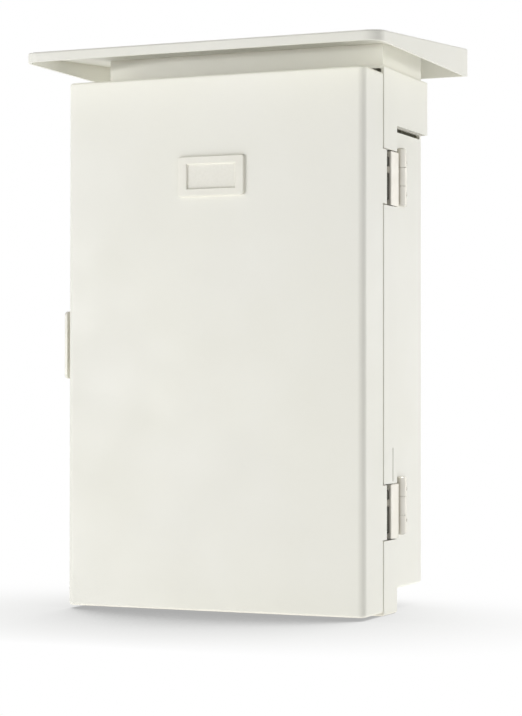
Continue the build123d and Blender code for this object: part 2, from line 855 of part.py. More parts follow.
def make_notch_seals():
    """Foam pads on the arms that fill the notches of the rim from inside."""
    pads = []
    half = hinge_arm_height / 2
    back = strap_turn - hinge_leaf_thickness
    inner = arm_inner + hinge_leaf_thickness
    outer = door_half - hinge_tab_wall
    for z in strap_heights:
        for low, high in ((-half, hinge_seal_split_low), (hinge_seal_split_high, half)):
            pads.append(block(inner, outer, back - hinge_seal_reach, back, z + low, z + high))
    return Compound(children=pads)


def countersunk_y(y_head, y_seat, y_end, x, z):
    """A countersunk screw along Y, its flat face at y_head and its cone ending at y_seat."""
    shank, head, _ = m5
    cone = Pos(x, (y_head + y_seat) / 2, z) * Rot(-90, 0, 0) * Cone(head, shank, y_seat - y_head)
    return cone + rod_y(shank, y_seat, y_end, x, z)


def countersunk_x(x_head, x_end, y, z):
    """A countersunk head along X, its flat face at x_head, with the start of its shank."""
    shank, head, _ = m4
    cone_height = min(head - shank, abs(x_end - x_head))
    cone = Cone(head, shank, cone_height)
    cone = Pos(x_head + cone_height / 2, y, z) * Rot(0, 90, 0) * cone
    return cone + rod_x(shank, x_head + cone_height / 2, x_end, y, z)


def make_hinge_pins():
    """Two pins with domed heads."""
    pins = []
    for z in hinge_heights:
        half = hinge_length / 2
        pin = rod_z(hinge_pin_radius, z - half, z + half, axis_x, axis_y)
        for side in (1, -1):
            ends = sorted((z + side * half, z + side * (half + hinge_pin_head)))
            head = rod_z(hinge_pin_head_radius, *ends, axis_x, axis_y)
            outer = head.faces().sort_by(Axis.Z)[-1 if side > 0 else 0]
            pin += chamfer(outer.edges(), hinge_pin_dome)
        pins.append(pin)
    return Compound(children=pins)


def make_leaf_screws():
    """Screws of the leaves on the tub."""
    seat = tub_half + hinge_leaf_thickness
    end = tub_half - leaf_screw_bite
    screws = [
        screw_x(m4, seat, end, leaf_screw_y, z + dz * hinge_screw_pitch / 2)
        for z in hinge_heights
        for dz in (1, -1)
    ]
    return Compound(children=screws)


def make_arm_screws():
    """Countersunk screws of the arms in the door."""
    end = arm_inner + hinge_leaf_thickness + arm_screw_bite
    screws = [
        countersunk_x(arm_inner, end, arm_screw_y, z + dz * hinge_arm_screw_pitch / 2)
        for z in strap_heights
        for dz in (1, -1)
    ]
    return Compound(children=screws)


def make_latch_base():
    """Latch bracket on the left side of the rim, with two ears for the pin."""
    half = latch_base_height / 2
    x_outer = -door_half - latch_base_thickness
    y_front = rim_front + latch_base_inset
    base = block(x_outer, -door_half, y_front, rim_back, latch_z - half, latch_z + half)
    for side in (1, -1):
        ends = sorted((latch_z + side * half, latch_z + side * (half - latch_ear)))
        base += rod_z(latch_ear_radius, *ends, latch_axis_x, latch_axis_y)
        y_ends = (latch_axis_y - latch_ear_radius, latch_axis_y + latch_ear_radius)
        base += block(latch_axis_x, x_outer, *y_ends, *ends)
    low = latch_z - half - cut_margin
    high = latch_z + half + cut_margin
    base -= rod_z(latch_pin_radius, low, high, latch_axis_x, latch_axis_y)
    for dz in (1, -1):
        z = latch_z + dz * latch_screw_pitch / 2
        base -= rod_x(m4[0], x_outer - cut_margin, -door_half + cut_margin, latch_screw_y, z)
    return base


def make_latch_lever():
    """Snap latch: knuckle on the pin, plate along the door side, lip in front of the keeper."""
    knuckle_half = latch_base_height / 2 - latch_ear - latch_knuckle_gap
    half = latch_height / 2
    outer = latch_axis_x - latch_ear_radius
    inner = outer + latch_plate
    plate_end = latch_axis_y - latch_reach
    wide_back = rim_front + latch_base_inset - latch_ear_radius
    low = latch_z - knuckle_half
    high = latch_z + knuckle_half
    lever = rod_z(latch_ear_radius, low, high, latch_axis_x, latch_axis_y)
    neck = block(outer, inner, wide_back, latch_axis_y, low, high)
    plate = block(outer, inner, plate_end, wide_back, latch_z - half, latch_z + half)
    corners = plate.edges().filter_by(Axis.X).group_by(Axis.Y)[0]
    plate = fillet(corners, latch_corner_radius)
    plate = fillet(plate.faces().sort_by(Axis.X)[0].edges(), latch_edge_radius)
    lip_tip = -door_half - keeper_plate - latch_lip_gap
    lip_back = keeper_ridge_back - keeper_ridge_width - latch_lip_gap
    low = latch_z - keeper_height / 2
    high = latch_z + keeper_height / 2
    lip_root = inner - latch_plate / 2
    lip = block(lip_root, lip_tip, lip_back - latch_lip_width, lip_back, low, high)
    lever += neck + plate + lip
    bore = latch_pin_radius + latch_running_gap
    lever -= rod_z(bore, latch_z - half, latch_z + half, latch_axis_x, latch_axis_y)
    return lever


def make_latch_pin():
    """Pin of the latch, flush with the ears."""
    half = latch_base_height / 2
    return rod_z(latch_pin_radius, latch_z - half, latch_z + half, latch_axis_x, latch_axis_y)


def make_latch_base_screws():
    """Screws of the latch bracket."""
    seat = -door_half - latch_base_thickness
    end = -door_half + rim_wall - skin_left
    return Compound(
        children=[
            screw_x(m4, seat, end, latch_screw_y, latch_z + dz * latch_screw_pitch / 2)
            for dz in (1, -1)
        ]
    )


def make_keeper():
    """Keeper on the left side of the door: a plate with a rounded ridge."""
    half = keeper_height / 2
    x_plate = -door_half - keeper_plate
    x_ridge = x_plate - keeper_ridge
    ridge_front = keeper_ridge_back - keeper_ridge_width
    keeper = block(x_plate, -door_half, keeper_front, keeper_back, latch_z - half, latch_z + half)
    ridge = block(x_ridge, x_plate, ridge_front, keeper_ridge_back, latch_z - half, latch_z + half)
    crest = ridge.faces().sort_by(Axis.X)[0].edges().filter_by(Axis.Z)
    keeper += fillet(crest, keeper_crest_radius)
    y = (keeper_back + keeper_ridge_back) / 2
    for dz in (1, -1):
        z = latch_z + dz * keeper_screw_pitch / 2
        keeper -= rod_x(m3[0], x_plate - cut_margin, -door_half + cut_margin, y, z)
    return keeper


def make_keeper_screws():
    """Screws of the keeper."""
    y = (keeper_back + keeper_ridge_back) / 2
    seat = -door_half - keeper_plate
    end = -door_half + keeper_screw_bite
    return Compound(
        children=[
            screw_x(m3, seat, end, y, latch_z + dz * keeper_screw_pitch / 2) for dz in (1, -1)
        ]
    )


def make_plate():
    """Steel plate that the equipment is fixed to."""
    back = plate_front + plate_thickness
    plate = slab(plate_width, plate_height, plate_front, back, mouth_middle, plate_corner_radius)
    for x, z in plate_points:
        plate -= countersunk_y(plate_front, back, back + cut_margin, x, z)
    return plate


def make_plate_screws():
    """Screws that hold the plate on its bosses."""
    back = plate_front + plate_thickness
    end = back + plate_screw_bite
    screws = [countersunk_y(plate_front, back, end, x, z) for x, z in plate_points]
    return Compound(children=screws)


def make_rail(z):
    """Lipped channel with wall holes and band slots in its web."""
    half = rail_height / 2
    rail = block(-rail_length / 2, rail_length / 2, tub_back, 0.0, z - half, z + half)
    rail = fillet(rail.edges().filter_by(Axis.X), rail_wall)
    inner = half - rail_wall
    x_end = rail_length / 2 + cut_margin
    rail -= block(-x_end, x_end, tub_back + rail_wall, -rail_wall, z - inner, z + inner)
    gap = half - rail_lip
    rail -= block(-x_end, x_end, tub_back - cut_margin, tub_back + 2 * rail_wall, z - gap, z + gap)
    for side in (1, -1):
        x = side * wall_hole_spacing / 2
        rail -= rod_y(wall_hole_radius, -2 * rail_wall, rail_wall, x, z)
        place = Plane(
            origin=(side * band_slot_spacing / 2, rail_wall, z), x_dir=(1, 0, 0), z_dir=(0, -1, 0)
        )
        rail -= extrude(place * SlotOverall(band_slot_length, band_slot_width), 3 * rail_wall)
    return rail


def make_rail_fixings():
    """Bolts through the tub's back into the channel nuts, each on a sealing washer."""
    seat = tub_back - tub_wall - washer_thickness
    nut_front = tub_back + rail_wall
    nut_back = nut_front + rail_nut_thickness
    nut_height = rail_height - 2 * rail_wall - 2 * rail_nut_gap
    bolts = []
    washers = []
    nuts = []
    for x, z in rail_points:
        bolts.append(screw_y(m8, seat, nut_back + nut_below_bolt_end, x, z))
        washers.append(ring_y(m8[1] + washer_over_head, m8[0], seat, tub_back - tub_wall, x, z))
        half = nut_height / 2
        nut = block(
            x - rail_nut_length / 2, x + rail_nut_length / 2, nut_front, nut_back, z - half, z + half
        )
        nuts.append(nut - rod_y(m8[0], nut_front - cut_margin, nut_back + cut_margin, x, z))
    return Compound(children=bolts), Compound(children=washers), Compound(children=nuts)


def make_grommets():
    """Rubber cable entries: a groove grips the floor, a funnel leads to a closed membrane."""
    grommets = []
    outer = entry_radius + grommet_flange
    inner = entry_radius - grommet_wall
    low = tub_bottom - grommet_flange_thickness
    high = tub_bottom + tub_wall + grommet_flange_thickness
    for side in (1, -1):
        x = side * entry_spacing / 2
        body = rod_z(entry_radius, low, high, x, vent_middle_y)
        body += rod_z(outer, low, tub_bottom, x, vent_middle_y)
        body += rod_z(outer, tub_bottom + tub_wall, high, x, vent_middle_y)
        body -= rod_z(inner, low - cut_margin, low + grommet_recess, x, vent_middle_y)
        membrane_top = low + grommet_recess + grommet_membrane
        depth = high - membrane_top
        funnel = Cone(inner - grommet_funnel, inner, depth)
        body -= Pos(x, vent_middle_y, membrane_top + depth / 2) * funnel
        grommets.append(body)
    return Compound(children=grommets)


def build():
    """Make and write every sub-part."""
    save(make_tub(), "tub")
    save(make_roof(), "roof")
    roof_screws, roof_washers = make_roof_fixings()
    save(roof_screws, "roof_screws")
    save(roof_washers, "roof_sealing_washers")
    for side, word in ((1, "right"), (-1, "left")):
        save(make_hood(side), f"vent_hood_{word}")
        save(make_screen(side), f"insect_screen_{word}")
    save(make_hood_screws(), "vent_hood_screws")
    save(make_door(), "door")
    save(make_gasket(), "door_gasket")
    save(make_frame(), "name_plate_frame")
    save(make_card(), "name_plate_card")
    for z, word in zip(hinge_heights, ("upper", "lower")):
        save(make_body_leaf(z), f"hinge_body_leaf_{word}")
        save(make_door_leaf(z), f"hinge_door_leaf_{word}")
    save(make_notch_seals(), "hinge_notch_seals")
    save(make_hinge_pins(), "hinge_pins")
    save(make_leaf_screws(), "hinge_body_screws")
    save(make_arm_screws(), "hinge_door_screws")
    save(make_latch_base(), "latch_base")
    save(make_latch_pin(), "latch_pin")
    save(make_latch_lever(), "latch_lever")
    save(make_latch_base_screws(), "latch_base_screws")
    save(make_keeper(), "latch_keeper")
    save(make_keeper_screws(), "latch_keeper_screws")
    save(make_plate(), "mounting_plate")
    save(make_plate_screws(), "mounting_plate_screws")
    for z, word in zip(rail_heights, ("upper", "lower")):
        save(make_rail(z), f"wall_rail_{word}")
    bolts, washers, nuts = make_rail_fixings()
    save(bolts, "rail_bolts")
    save(washers, "rail_sealing_washers")
    save(nuts, "rail_nuts")
    save(make_grommets(), "cable_grommets")


build()
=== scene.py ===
# %% [markdown]
# # An outdoor utility cabinet of moulded plastic
# The real object is a shallow box for a wall or a pole: a tub with a rain gutter round its
# mouth, a deep door on two stainless hinges, a shed roof, vent hoods and a snap latch. The
# shapes of the hard pieces come ready made as a frame of fixed parts. This lesson gives them
# their finishes, and makes the pieces that are soft, woven or repeated.

import math

import bmesh
import bpy
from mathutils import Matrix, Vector


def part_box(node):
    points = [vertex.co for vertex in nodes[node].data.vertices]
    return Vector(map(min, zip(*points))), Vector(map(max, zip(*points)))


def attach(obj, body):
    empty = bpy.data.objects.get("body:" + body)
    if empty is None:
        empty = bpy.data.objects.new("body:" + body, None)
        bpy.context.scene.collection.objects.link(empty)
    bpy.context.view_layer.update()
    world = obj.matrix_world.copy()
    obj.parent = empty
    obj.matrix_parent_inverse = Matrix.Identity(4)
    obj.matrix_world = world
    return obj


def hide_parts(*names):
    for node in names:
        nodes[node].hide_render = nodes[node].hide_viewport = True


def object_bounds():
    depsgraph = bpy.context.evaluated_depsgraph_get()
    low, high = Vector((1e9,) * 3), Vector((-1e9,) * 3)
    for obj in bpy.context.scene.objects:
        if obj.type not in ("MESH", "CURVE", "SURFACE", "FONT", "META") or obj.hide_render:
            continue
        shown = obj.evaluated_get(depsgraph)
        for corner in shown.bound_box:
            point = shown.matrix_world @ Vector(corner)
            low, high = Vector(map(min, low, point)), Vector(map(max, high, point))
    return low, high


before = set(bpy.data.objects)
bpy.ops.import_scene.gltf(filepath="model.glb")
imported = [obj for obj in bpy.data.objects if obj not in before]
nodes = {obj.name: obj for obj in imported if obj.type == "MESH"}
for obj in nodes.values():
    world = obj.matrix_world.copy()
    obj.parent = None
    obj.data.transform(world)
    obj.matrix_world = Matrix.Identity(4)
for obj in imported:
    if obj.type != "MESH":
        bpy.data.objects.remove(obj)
cad_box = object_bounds()
MM = 0.001

# %% [markdown]
# ## The camera
# The photo was taken with a long lens from the front right, a little below the middle of the
# box, so the underside of the roof shows. The place and the lens were found by fitting the
# box's own straight edges. The sensor is fitted to the upright side of the picture.

# %% Camera
camera_place = Vector((0.82295, -2.00964, -0.0612))
camera_yaw = math.radians(23.28)
camera_pitch = math.radians(0.74)
camera_roll = math.radians(-0.05)
camera_data = bpy.data.cameras.new("camera")
camera_data.sensor_fit = "VERTICAL"
camera_data.sensor_height = 36.0
camera_data.lens = 108.08
camera = bpy.data.objects.new("camera", camera_data)
bpy.context.scene.collection.objects.link(camera)
camera.location = camera_place
camera.rotation_euler = (math.pi / 2 + camera_pitch, camera_roll, camera_yaw)
bpy.context.scene.camera = camera
bpy.context.scene.view_settings.view_transform = "Standard"
print("lens", camera_data.lens, "mm")

# %% [markdown]
# ## Colour by hex code
# A colour is read off as a hex code, but a shader wants linear light. One function turns the
# one into the other, so that a colour under plain light renders as it is written. The numbers
# in it are those of the sRGB standard.


# %% Colours
def linear(code, alpha=1.0):
    """Turns a hex code such as #ECEBE3 into linear red, green, blue and alpha."""
    values = [int(code[i : i + 2], 16) / 255 for i in (1, 3, 5)]
    bent = [v / 12.92 if v <= 0.04045 else ((v + 0.055) / 1.055) ** 2.4 for v in values]
    return (*bent, alpha)


print("ivory in linear light", [round(v, 3) for v in linear("#EBEAE1")])

# %% [markdown]
# ## Helpers for shader nodes
# Every material below is a small graph. One helper adds a node, sets its plain values and
# links the inputs that are given as another node's output. The others are short forms of what
# the materials need again and again: a sum, noise of a real size, a blend and a bump.


# %% A helper that adds a node
def add(tree, kind, **inputs):
    """Adds a node; a value sets a socket, an output socket is linked to it."""
    node = tree.nodes.new(kind)
    for name, value in inputs.items():
        key = name.replace("_", " ")
        if hasattr(node, name) and key not in node.inputs:
            setattr(node, name, value)
            continue
        if isinstance(value, bpy.types.NodeSocket):
            tree.links.new(value, node.inputs[key])
        else:
            node.inputs[key].default_value = value
    return node


def reckon(tree, operation, *values):
    """One step of arithmetic on numbers or outputs."""
    node = tree.nodes.new("ShaderNodeMath")
    node.operation = operation
    for socket, value in zip(node.inputs, values):
        if isinstance(value, bpy.types.NodeSocket):
            tree.links.new(value, socket)
        else:
            socket.default_value = value
    return node.outputs[0]


print("helpers", add.__name__, reckon.__name__)


# %% Helpers for materials
def new_material(name):
    """An empty material with its shader and its output joined."""
    material = bpy.data.materials.new(name)
    material.use_nodes = True
    tree = material.node_tree
    tree.nodes.clear()
    shader = tree.nodes.new("ShaderNodeBsdfPrincipled")
    output = tree.nodes.new("ShaderNodeOutputMaterial")
    tree.links.new(shader.outputs["BSDF"], output.inputs["Surface"])
    return material, tree, shader


def place(tree, scale=(1.0, 1.0, 1.0)):
    """The point on the piece in its own metres, stretched by scale."""
    where = tree.nodes.new("ShaderNodeTexCoord")
    mapping = add(tree, "ShaderNodeMapping", Vector=where.outputs["Object"])
    mapping.inputs["Scale"].default_value = scale
    return mapping.outputs["Vector"]


def noise(tree, size_mm, detail=2.0, roughness=0.5, stretch=(1.0, 1.0, 1.0)):
    """Smooth noise whose lumps are about size_mm across."""
    scaled = tuple(s / (size_mm * MM) for s in stretch)
    return add(
        tree,
        "ShaderNodeTexNoise",
        Vector=place(tree, scaled),
        Scale=1.0,
        Detail=detail,
        Roughness=roughness,
    ).outputs["Fac"]


def spread(tree, factor, low, high):
    """Moves noise, which seldom leaves 0.3 to 0.7, to the range low to high."""
    return add(
        tree,
        "ShaderNodeMapRange",
        Value=factor,
        From_Min=0.3,
        From_Max=0.7,
        To_Min=low,
        To_Max=high,
    ).outputs["Result"]


def blend_colour(tree, factor, one, other):
    """Mixes two colours by a factor; each is a hex code or another node's output."""
    node = tree.nodes.new("ShaderNodeMix")
    node.data_type = "RGBA"
    tree.links.new(factor, node.inputs["Factor"])
    # A Mix node has a pair of inputs for each kind of value; 6 and 7 are its colours.
    for socket, colour in zip((node.inputs[6], node.inputs[7]), (one, other)):
        if isinstance(colour, str):
            socket.default_value = linear(colour)
        else:
            tree.links.new(colour, socket)
    return node.outputs[2]


def bump(tree, height, depth_mm, strength=1.0, under=None):
    """Turns a height into a bump of depth_mm, over another bump if one is given."""
    node = add(tree, "ShaderNodeBump", Height=height)
    node.inputs["Strength"].default_value = strength
    node.inputs["Distance"].default_value = depth_mm * MM
    if under is not None:
        tree.links.new(under, node.inputs["Normal"])
    return node.outputs["Normal"]


print("helpers", noise.__name__, spread.__name__, blend_colour.__name__, bump.__name__)

# %% [markdown]
# ## The moulded shell
# The tub, the door, the roof and the hoods are mouldings of one ivory plastic. Its skin copies
# the fine spark eroded grain of the mould, and over a hand's width it is never quite one tone.
# A wide flat moulding also sinks a little behind its ribs, so there is a second, very long and
# shallow wave. Corners and recesses are darker by an Ambient Occlusion mask: partly dust that
# stays where a cloth doesn't reach, partly painted shade.

# %% Shell plastic
shell, tree, shader = new_material("moulded_ivory_plastic")
patches = spread(tree, noise(tree, size_mm=140, detail=3.0), 0.0, 1.0)
tone = blend_colour(tree, patches, "#EAE9DF", "#ECEBE3")
# Painted shade and dust: Ambient Occlusion darkens corners and recesses towards #DAD6CA.
corner = add(tree, "ShaderNodeAmbientOcclusion", Distance=6 * MM, samples=6)
dust_and_shade_amount = spread(tree, noise(tree, size_mm=25, detail=4.0), 0.80, 1.0)
free_of_dust_and_shade = reckon(tree, "POWER", corner.outputs["AO"], dust_and_shade_amount)
dust_and_shade = blend_colour(tree, free_of_dust_and_shade, "#DAD6CA", tone)
tree.links.new(dust_and_shade, shader.inputs["Base Color"])
worn = spread(tree, noise(tree, size_mm=45, detail=3.0), 0.38, 0.52)
tree.links.new(worn, shader.inputs["Roughness"])
sink = bump(tree, noise(tree, size_mm=110, detail=1.0), depth_mm=0.5, strength=0.35)
spark_grain = noise(tree, size_mm=0.55, detail=2.0, roughness=0.6)
grain = bump(tree, spark_grain, depth_mm=0.02, strength=0.6, under=sink)
tree.links.new(grain, shader.inputs["Normal"])
shader.inputs["Specular IOR Level"].default_value = 0.45
print(shell.name, len(tree.nodes), "nodes")

# %% [markdown]
# ## The warm grey trim
# The latch and the name plate frame are small mouldings in a slightly darker, warmer grey.
# They are smoother than the shell, and fingers have polished them more in some places.

# %% Trim plastic
trim, tree, shader = new_material("moulded_warm_grey_plastic")
patches = spread(tree, noise(tree, size_mm=18, detail=3.0), 0.0, 1.0)
tone = blend_colour(tree, patches, "#E7E5DA", "#ECEAE0")
tree.links.new(tone, shader.inputs["Base Color"])
polish = spread(tree, noise(tree, size_mm=9, detail=3.0), 0.30, 0.45)
tree.links.new(polish, shader.inputs["Roughness"])
grain = noise(tree, size_mm=0.4, detail=2.0)
tree.links.new(bump(tree, grain, depth_mm=0.01, strength=0.5), shader.inputs["Normal"])
print(trim.name, len(tree.nodes), "nodes")

# %% [markdown]
# ## Stainless hinge steel
# The hinges are bent from brushed stainless sheet. Brushing leaves scratches along one
# direction: noise that is drawn out along it. The screws and pins are turned and polished,
# so they are brighter, and their grain has no direction.


# %% Stainless steel
def steel(name, stretch, rough_low, rough_high, one, other):
    """Stainless steel with scratches drawn out along the axis of the smallest stretch."""
    material, tree, shader = new_material(name)
    streak = noise(tree, size_mm=0.5, detail=3.0, roughness=0.6, stretch=stretch)
    patches = spread(tree, noise(tree, size_mm=14, detail=2.0), 0.0, 1.0)
    tree.links.new(blend_colour(tree, patches, one, other), shader.inputs["Base Color"])
    shader.inputs["Metallic"].default_value = 1.0
    tree.links.new(spread(tree, streak, rough_low, rough_high), shader.inputs["Roughness"])
    tree.links.new(bump(tree, streak, depth_mm=0.01, strength=0.5), shader.inputs["Normal"])
    return material


along_z = (1.0, 1.0, 0.03)
all_round = (1.0, 1.0, 1.0)
brushed = steel("brushed_stainless_steel", along_z, 0.50, 0.62, "#D6D3CA", "#DDDAD2")
turned = steel("turned_stainless_steel", all_round, 0.22, 0.34, "#CFCCC3", "#DAD7CF")
print(brushed.name, turned.name)

# %% [markdown]
# ## Hot dip zinc
# The rails and the mounting plate are zinc coated steel. Zinc freezes in flakes a centimetre
# across, each a little lighter or darker and a little duller than the next. A Voronoi pattern
# gives such cells, and a coarser noise dulls whole areas as the zinc ages.

# %% Galvanised steel
zinc, tree, shader = new_material("zinc_coated_steel")
flakes_per_metre = 110.0
flakes = add(tree, "ShaderNodeTexVoronoi", Vector=place(tree), Scale=flakes_per_metre)
cell = add(tree, "ShaderNodeSeparateColor", Color=flakes.outputs["Color"])
tone = blend_colour(tree, cell.outputs["Red"], "#A3A7A8", "#B3B6B7")
tree.links.new(tone, shader.inputs["Base Color"])
shader.inputs["Metallic"].default_value = 0.9
flake_dullness = spread(tree, cell.outputs["Green"], 0.0, 0.10)
aged = spread(tree, noise(tree, size_mm=40, detail=3.0), 0.38, 0.50)
tree.links.new(reckon(tree, "ADD", flake_dullness, aged), shader.inputs["Roughness"])
ripple = noise(tree, size_mm=3.0, detail=3.0)
tree.links.new(bump(tree, ripple, depth_mm=0.05, strength=0.4), shader.inputs["Normal"])
print(zinc.name, len(tree.nodes), "nodes")

# %% [markdown]
# ## Rubber and foam
# Washers and cable entries are black rubber with a faint grey bloom. The door seal and the
# pads in the hinge notches are foamed rubber, so their skin is full of small pits.

# %% Rubber and foam
rubber, tree, shader = new_material("black_rubber")
bloom = spread(tree, noise(tree, size_mm=12, detail=4.0), 0.0, 1.0)
tone = blend_colour(tree, bloom, "#232322", "#333230")
tree.links.new(tone, shader.inputs["Base Color"])
dull = spread(tree, noise(tree, size_mm=5, detail=3.0), 0.55, 0.75)
tree.links.new(dull, shader.inputs["Roughness"])
skin = noise(tree, size_mm=0.8, detail=2.0)
tree.links.new(bump(tree, skin, depth_mm=0.02, strength=0.5), shader.inputs["Normal"])

foam, tree, shader = new_material("foamed_seal_rubber")
patches = spread(tree, noise(tree, size_mm=8, detail=4.0), 0.0, 1.0)
tone = blend_colour(tree, patches, "#302E26", "#3E3B31")
tree.links.new(tone, shader.inputs["Base Color"])
shader.inputs["Roughness"].default_value = 0.85
pits_per_metre = 1400.0
pits = add(tree, "ShaderNodeTexVoronoi", Vector=place(tree), Scale=pits_per_metre)
dents = bump(tree, pits.outputs["Distance"], depth_mm=0.12, strength=0.7)
tree.links.new(dents, shader.inputs["Normal"])
print(rubber.name, foam.name)

# %% [markdown]
# ## Card and screen
# The name plate holds a blank card, whose paper fibres show only close up. The insect screens
# are of a dull olive grey plastic, frame and wires alike.

# %% Card and screen
card, tree, shader = new_material("blank_paper_card")
clouds = spread(tree, noise(tree, size_mm=2.5, detail=5.0, roughness=0.7), 0.0, 1.0)
tone = blend_colour(tree, clouds, "#EBE9DF", "#F1EFE6")
tree.links.new(tone, shader.inputs["Base Color"])
shader.inputs["Roughness"].default_value = 0.8
fibre = noise(tree, size_mm=0.7, detail=4.0, roughness=0.7, stretch=(0.4, 1.0, 1.0))
tree.links.new(bump(tree, fibre, depth_mm=0.02, strength=0.5), shader.inputs["Normal"])

screen, tree, shader = new_material("grey_screen_plastic")
patches = spread(tree, noise(tree, size_mm=6, detail=3.0), 0.0, 1.0)
tone = blend_colour(tree, patches, "#7C7966", "#8A8773")
tree.links.new(tone, shader.inputs["Base Color"])
sheen = spread(tree, noise(tree, size_mm=4, detail=2.0), 0.45, 0.6)
tree.links.new(sheen, shader.inputs["Roughness"])
grain = noise(tree, size_mm=0.5, detail=2.0)
tree.links.new(bump(tree, grain, depth_mm=0.01, strength=0.5), shader.inputs["Normal"])
print(card.name, screen.name)

# %% [markdown]
# ## Dress the fixed pieces
# Each piece of the frame gets the finish of the real thing. A table of names keeps this in one
# place, and a piece that is missing from it stops the script.

# %% Give each piece its finish
finishes = {
    shell: ["tub", "roof", "door", "vent_hood_right", "vent_hood_left"],
    trim: ["latch_base", "latch_lever", "latch_keeper", "name_plate_frame"],
    brushed: [
        "hinge_body_leaf_upper",
        "hinge_body_leaf_lower",
        "hinge_door_leaf_upper",
        "hinge_door_leaf_lower",
    ],
    turned: ["latch_pin"],
    zinc: ["mounting_plate", "wall_rail_upper", "wall_rail_lower", "rail_nuts"],
    card: ["name_plate_card"],
}
finished = set()
for finish, names in finishes.items():
    for name in names:
        nodes[name].data.materials.clear()
        nodes[name].data.materials.append(finish)
        finished.add(name)
print("dressed", len(finished), "pieces")

# %% [markdown]
# ## Where the repeated pieces sit
# The frame keeps each kind of screw as one piece made of several loose solids. A solid is found
# by walking along its edges. Each is turned round one axis, and the wider of its two ends is
# the head, so its place and the way it faces can be measured, and needn't be typed in.


# %% Measure the loose solids of a fixed piece
weld_reach = 0.001 * MM
end_reach = 0.02 * MM


def solids_of(name):
    """The loose solids of a fixed piece, each as a list of its points."""
    work = bmesh.new()
    work.from_mesh(nodes[name].data)
    bmesh.ops.remove_doubles(work, verts=work.verts, dist=weld_reach)
    unseen = set(work.verts)
    solids = []
    for seed in work.verts:
        if seed not in unseen:
            continue
        unseen.remove(seed)
        path = [seed]
        for vert in path:
            for edge in vert.link_edges:
                other = edge.other_vert(vert)
                if other in unseen:
                    unseen.remove(other)
                    path.append(other)
        solids.append([vert.co.copy() for vert in path])
    work.free()
    return solids


def head_ends(name, axis):
    """For each solid: the middle of its wider end, the way that end faces, and its length."""
    ends = []
    for points in solids_of(name):
        low = min(point[axis] for point in points)
        high = max(point[axis] for point in points)
        box_low = Vector([min(point[k] for point in points) for k in range(3)])
        box_high = Vector([max(point[k] for point in points) for k in range(3)])
        middle = (box_low + box_high) / 2
        widths = []
        for end in (low, high):
            ring = [point for point in points if abs(point[axis] - end) < end_reach]
            widths.append(max((point - middle).length_squared for point in ring))
        at_high = widths[1] >= widths[0]
        spot = middle.copy()
        spot[axis] = high if at_high else low
        facing = Vector((0.0, 0.0, 0.0))
        facing[axis] = 1.0 if at_high else -1.0
        ends.append((spot, facing, high - low))
    return ends


for spot, facing, length in head_ends("hinge_body_screws", 0):
    print([round(v / MM, 1) for v in spot], [int(v) for v in facing], round(length / MM, 1))

# %% [markdown]
# ## Trees of geometry nodes
# A geometry tree is a recipe with named inputs. One helper starts a tree, and one ends it with
# smooth shading, real instances and a finish. The last one sets the inputs of a modifier that
# uses the recipe, turns the result into a plain mesh, points every face outwards, and lets the
# new piece ride on its body in place of the plain solid.


# %% Helpers for geometry trees
def new_recipe(name, **inputs):
    """A tree with its own named inputs; a string is the kind of socket, a number a length."""
    tree = bpy.data.node_groups.new(name, "GeometryNodeTree")
    tree.interface.new_socket("Geometry", in_out="INPUT", socket_type="NodeSocketGeometry")
    for label, value in inputs.items():
        kind = value if isinstance(value, str) else "NodeSocketFloat"
        title = label.replace("_", " ")
        socket = tree.interface.new_socket(title, in_out="INPUT", socket_type=kind)
        if not isinstance(value, str):
            socket.default_value = value
    tree.interface.new_socket("Geometry", in_out="OUTPUT", socket_type="NodeSocketGeometry")
    return tree, tree.nodes.new("NodeGroupInput").outputs, tree.nodes.new("NodeGroupOutput").inputs


def vector(tree, x=0.0, y=0.0, z=0.0):
    """A vector from three numbers or outputs."""
    return add(tree, "ShaderNodeCombineXYZ", X=x, Y=y, Z=z).outputs["Vector"]


def join(tree, *parts):
    """All parts as one geometry."""
    node = tree.nodes.new("GeometryNodeJoinGeometry")
    for part in parts:
        tree.links.new(part, node.inputs[0])
    return node.outputs[0]


def finish_recipe(tree, geometry, finish, output):
    """Makes instances real, shades smooth but for sharp folds, and gives the finish."""
    sharp_fold = 0.6
    real = add(tree, "GeometryNodeRealizeInstances", Geometry=geometry)
    smooth = add(tree, "GeometryNodeSetShadeSmooth", Geometry=real.outputs["Geometry"])
    fold = tree.nodes.new("GeometryNodeInputMeshEdgeAngle")
    sharp = reckon(tree, "GREATER_THAN", fold.outputs["Unsigned Angle"], sharp_fold)
    crisp = tree.nodes.new("GeometryNodeSetShadeSmooth")
    crisp.domain = "EDGE"
    tree.links.new(smooth.outputs["Geometry"], crisp.inputs["Geometry"])
    tree.links.new(sharp, crisp.inputs["Selection"])
    crisp.inputs["Shade Smooth"].default_value = False
    coated = add(tree, "GeometryNodeSetMaterial", Geometry=crisp.outputs[0], Material=finish)
    tree.links.new(coated.outputs["Geometry"], output["Geometry"])


def new_object(name, points, edges=(), faces=()):
    """A mesh object from plain lists."""
    mesh = bpy.data.meshes.new(name)
    mesh.from_pydata([tuple(point) for point in points], list(edges), list(faces))
    thing = bpy.data.objects.new(name, mesh)
    bpy.context.scene.collection.objects.link(thing)
    return thing


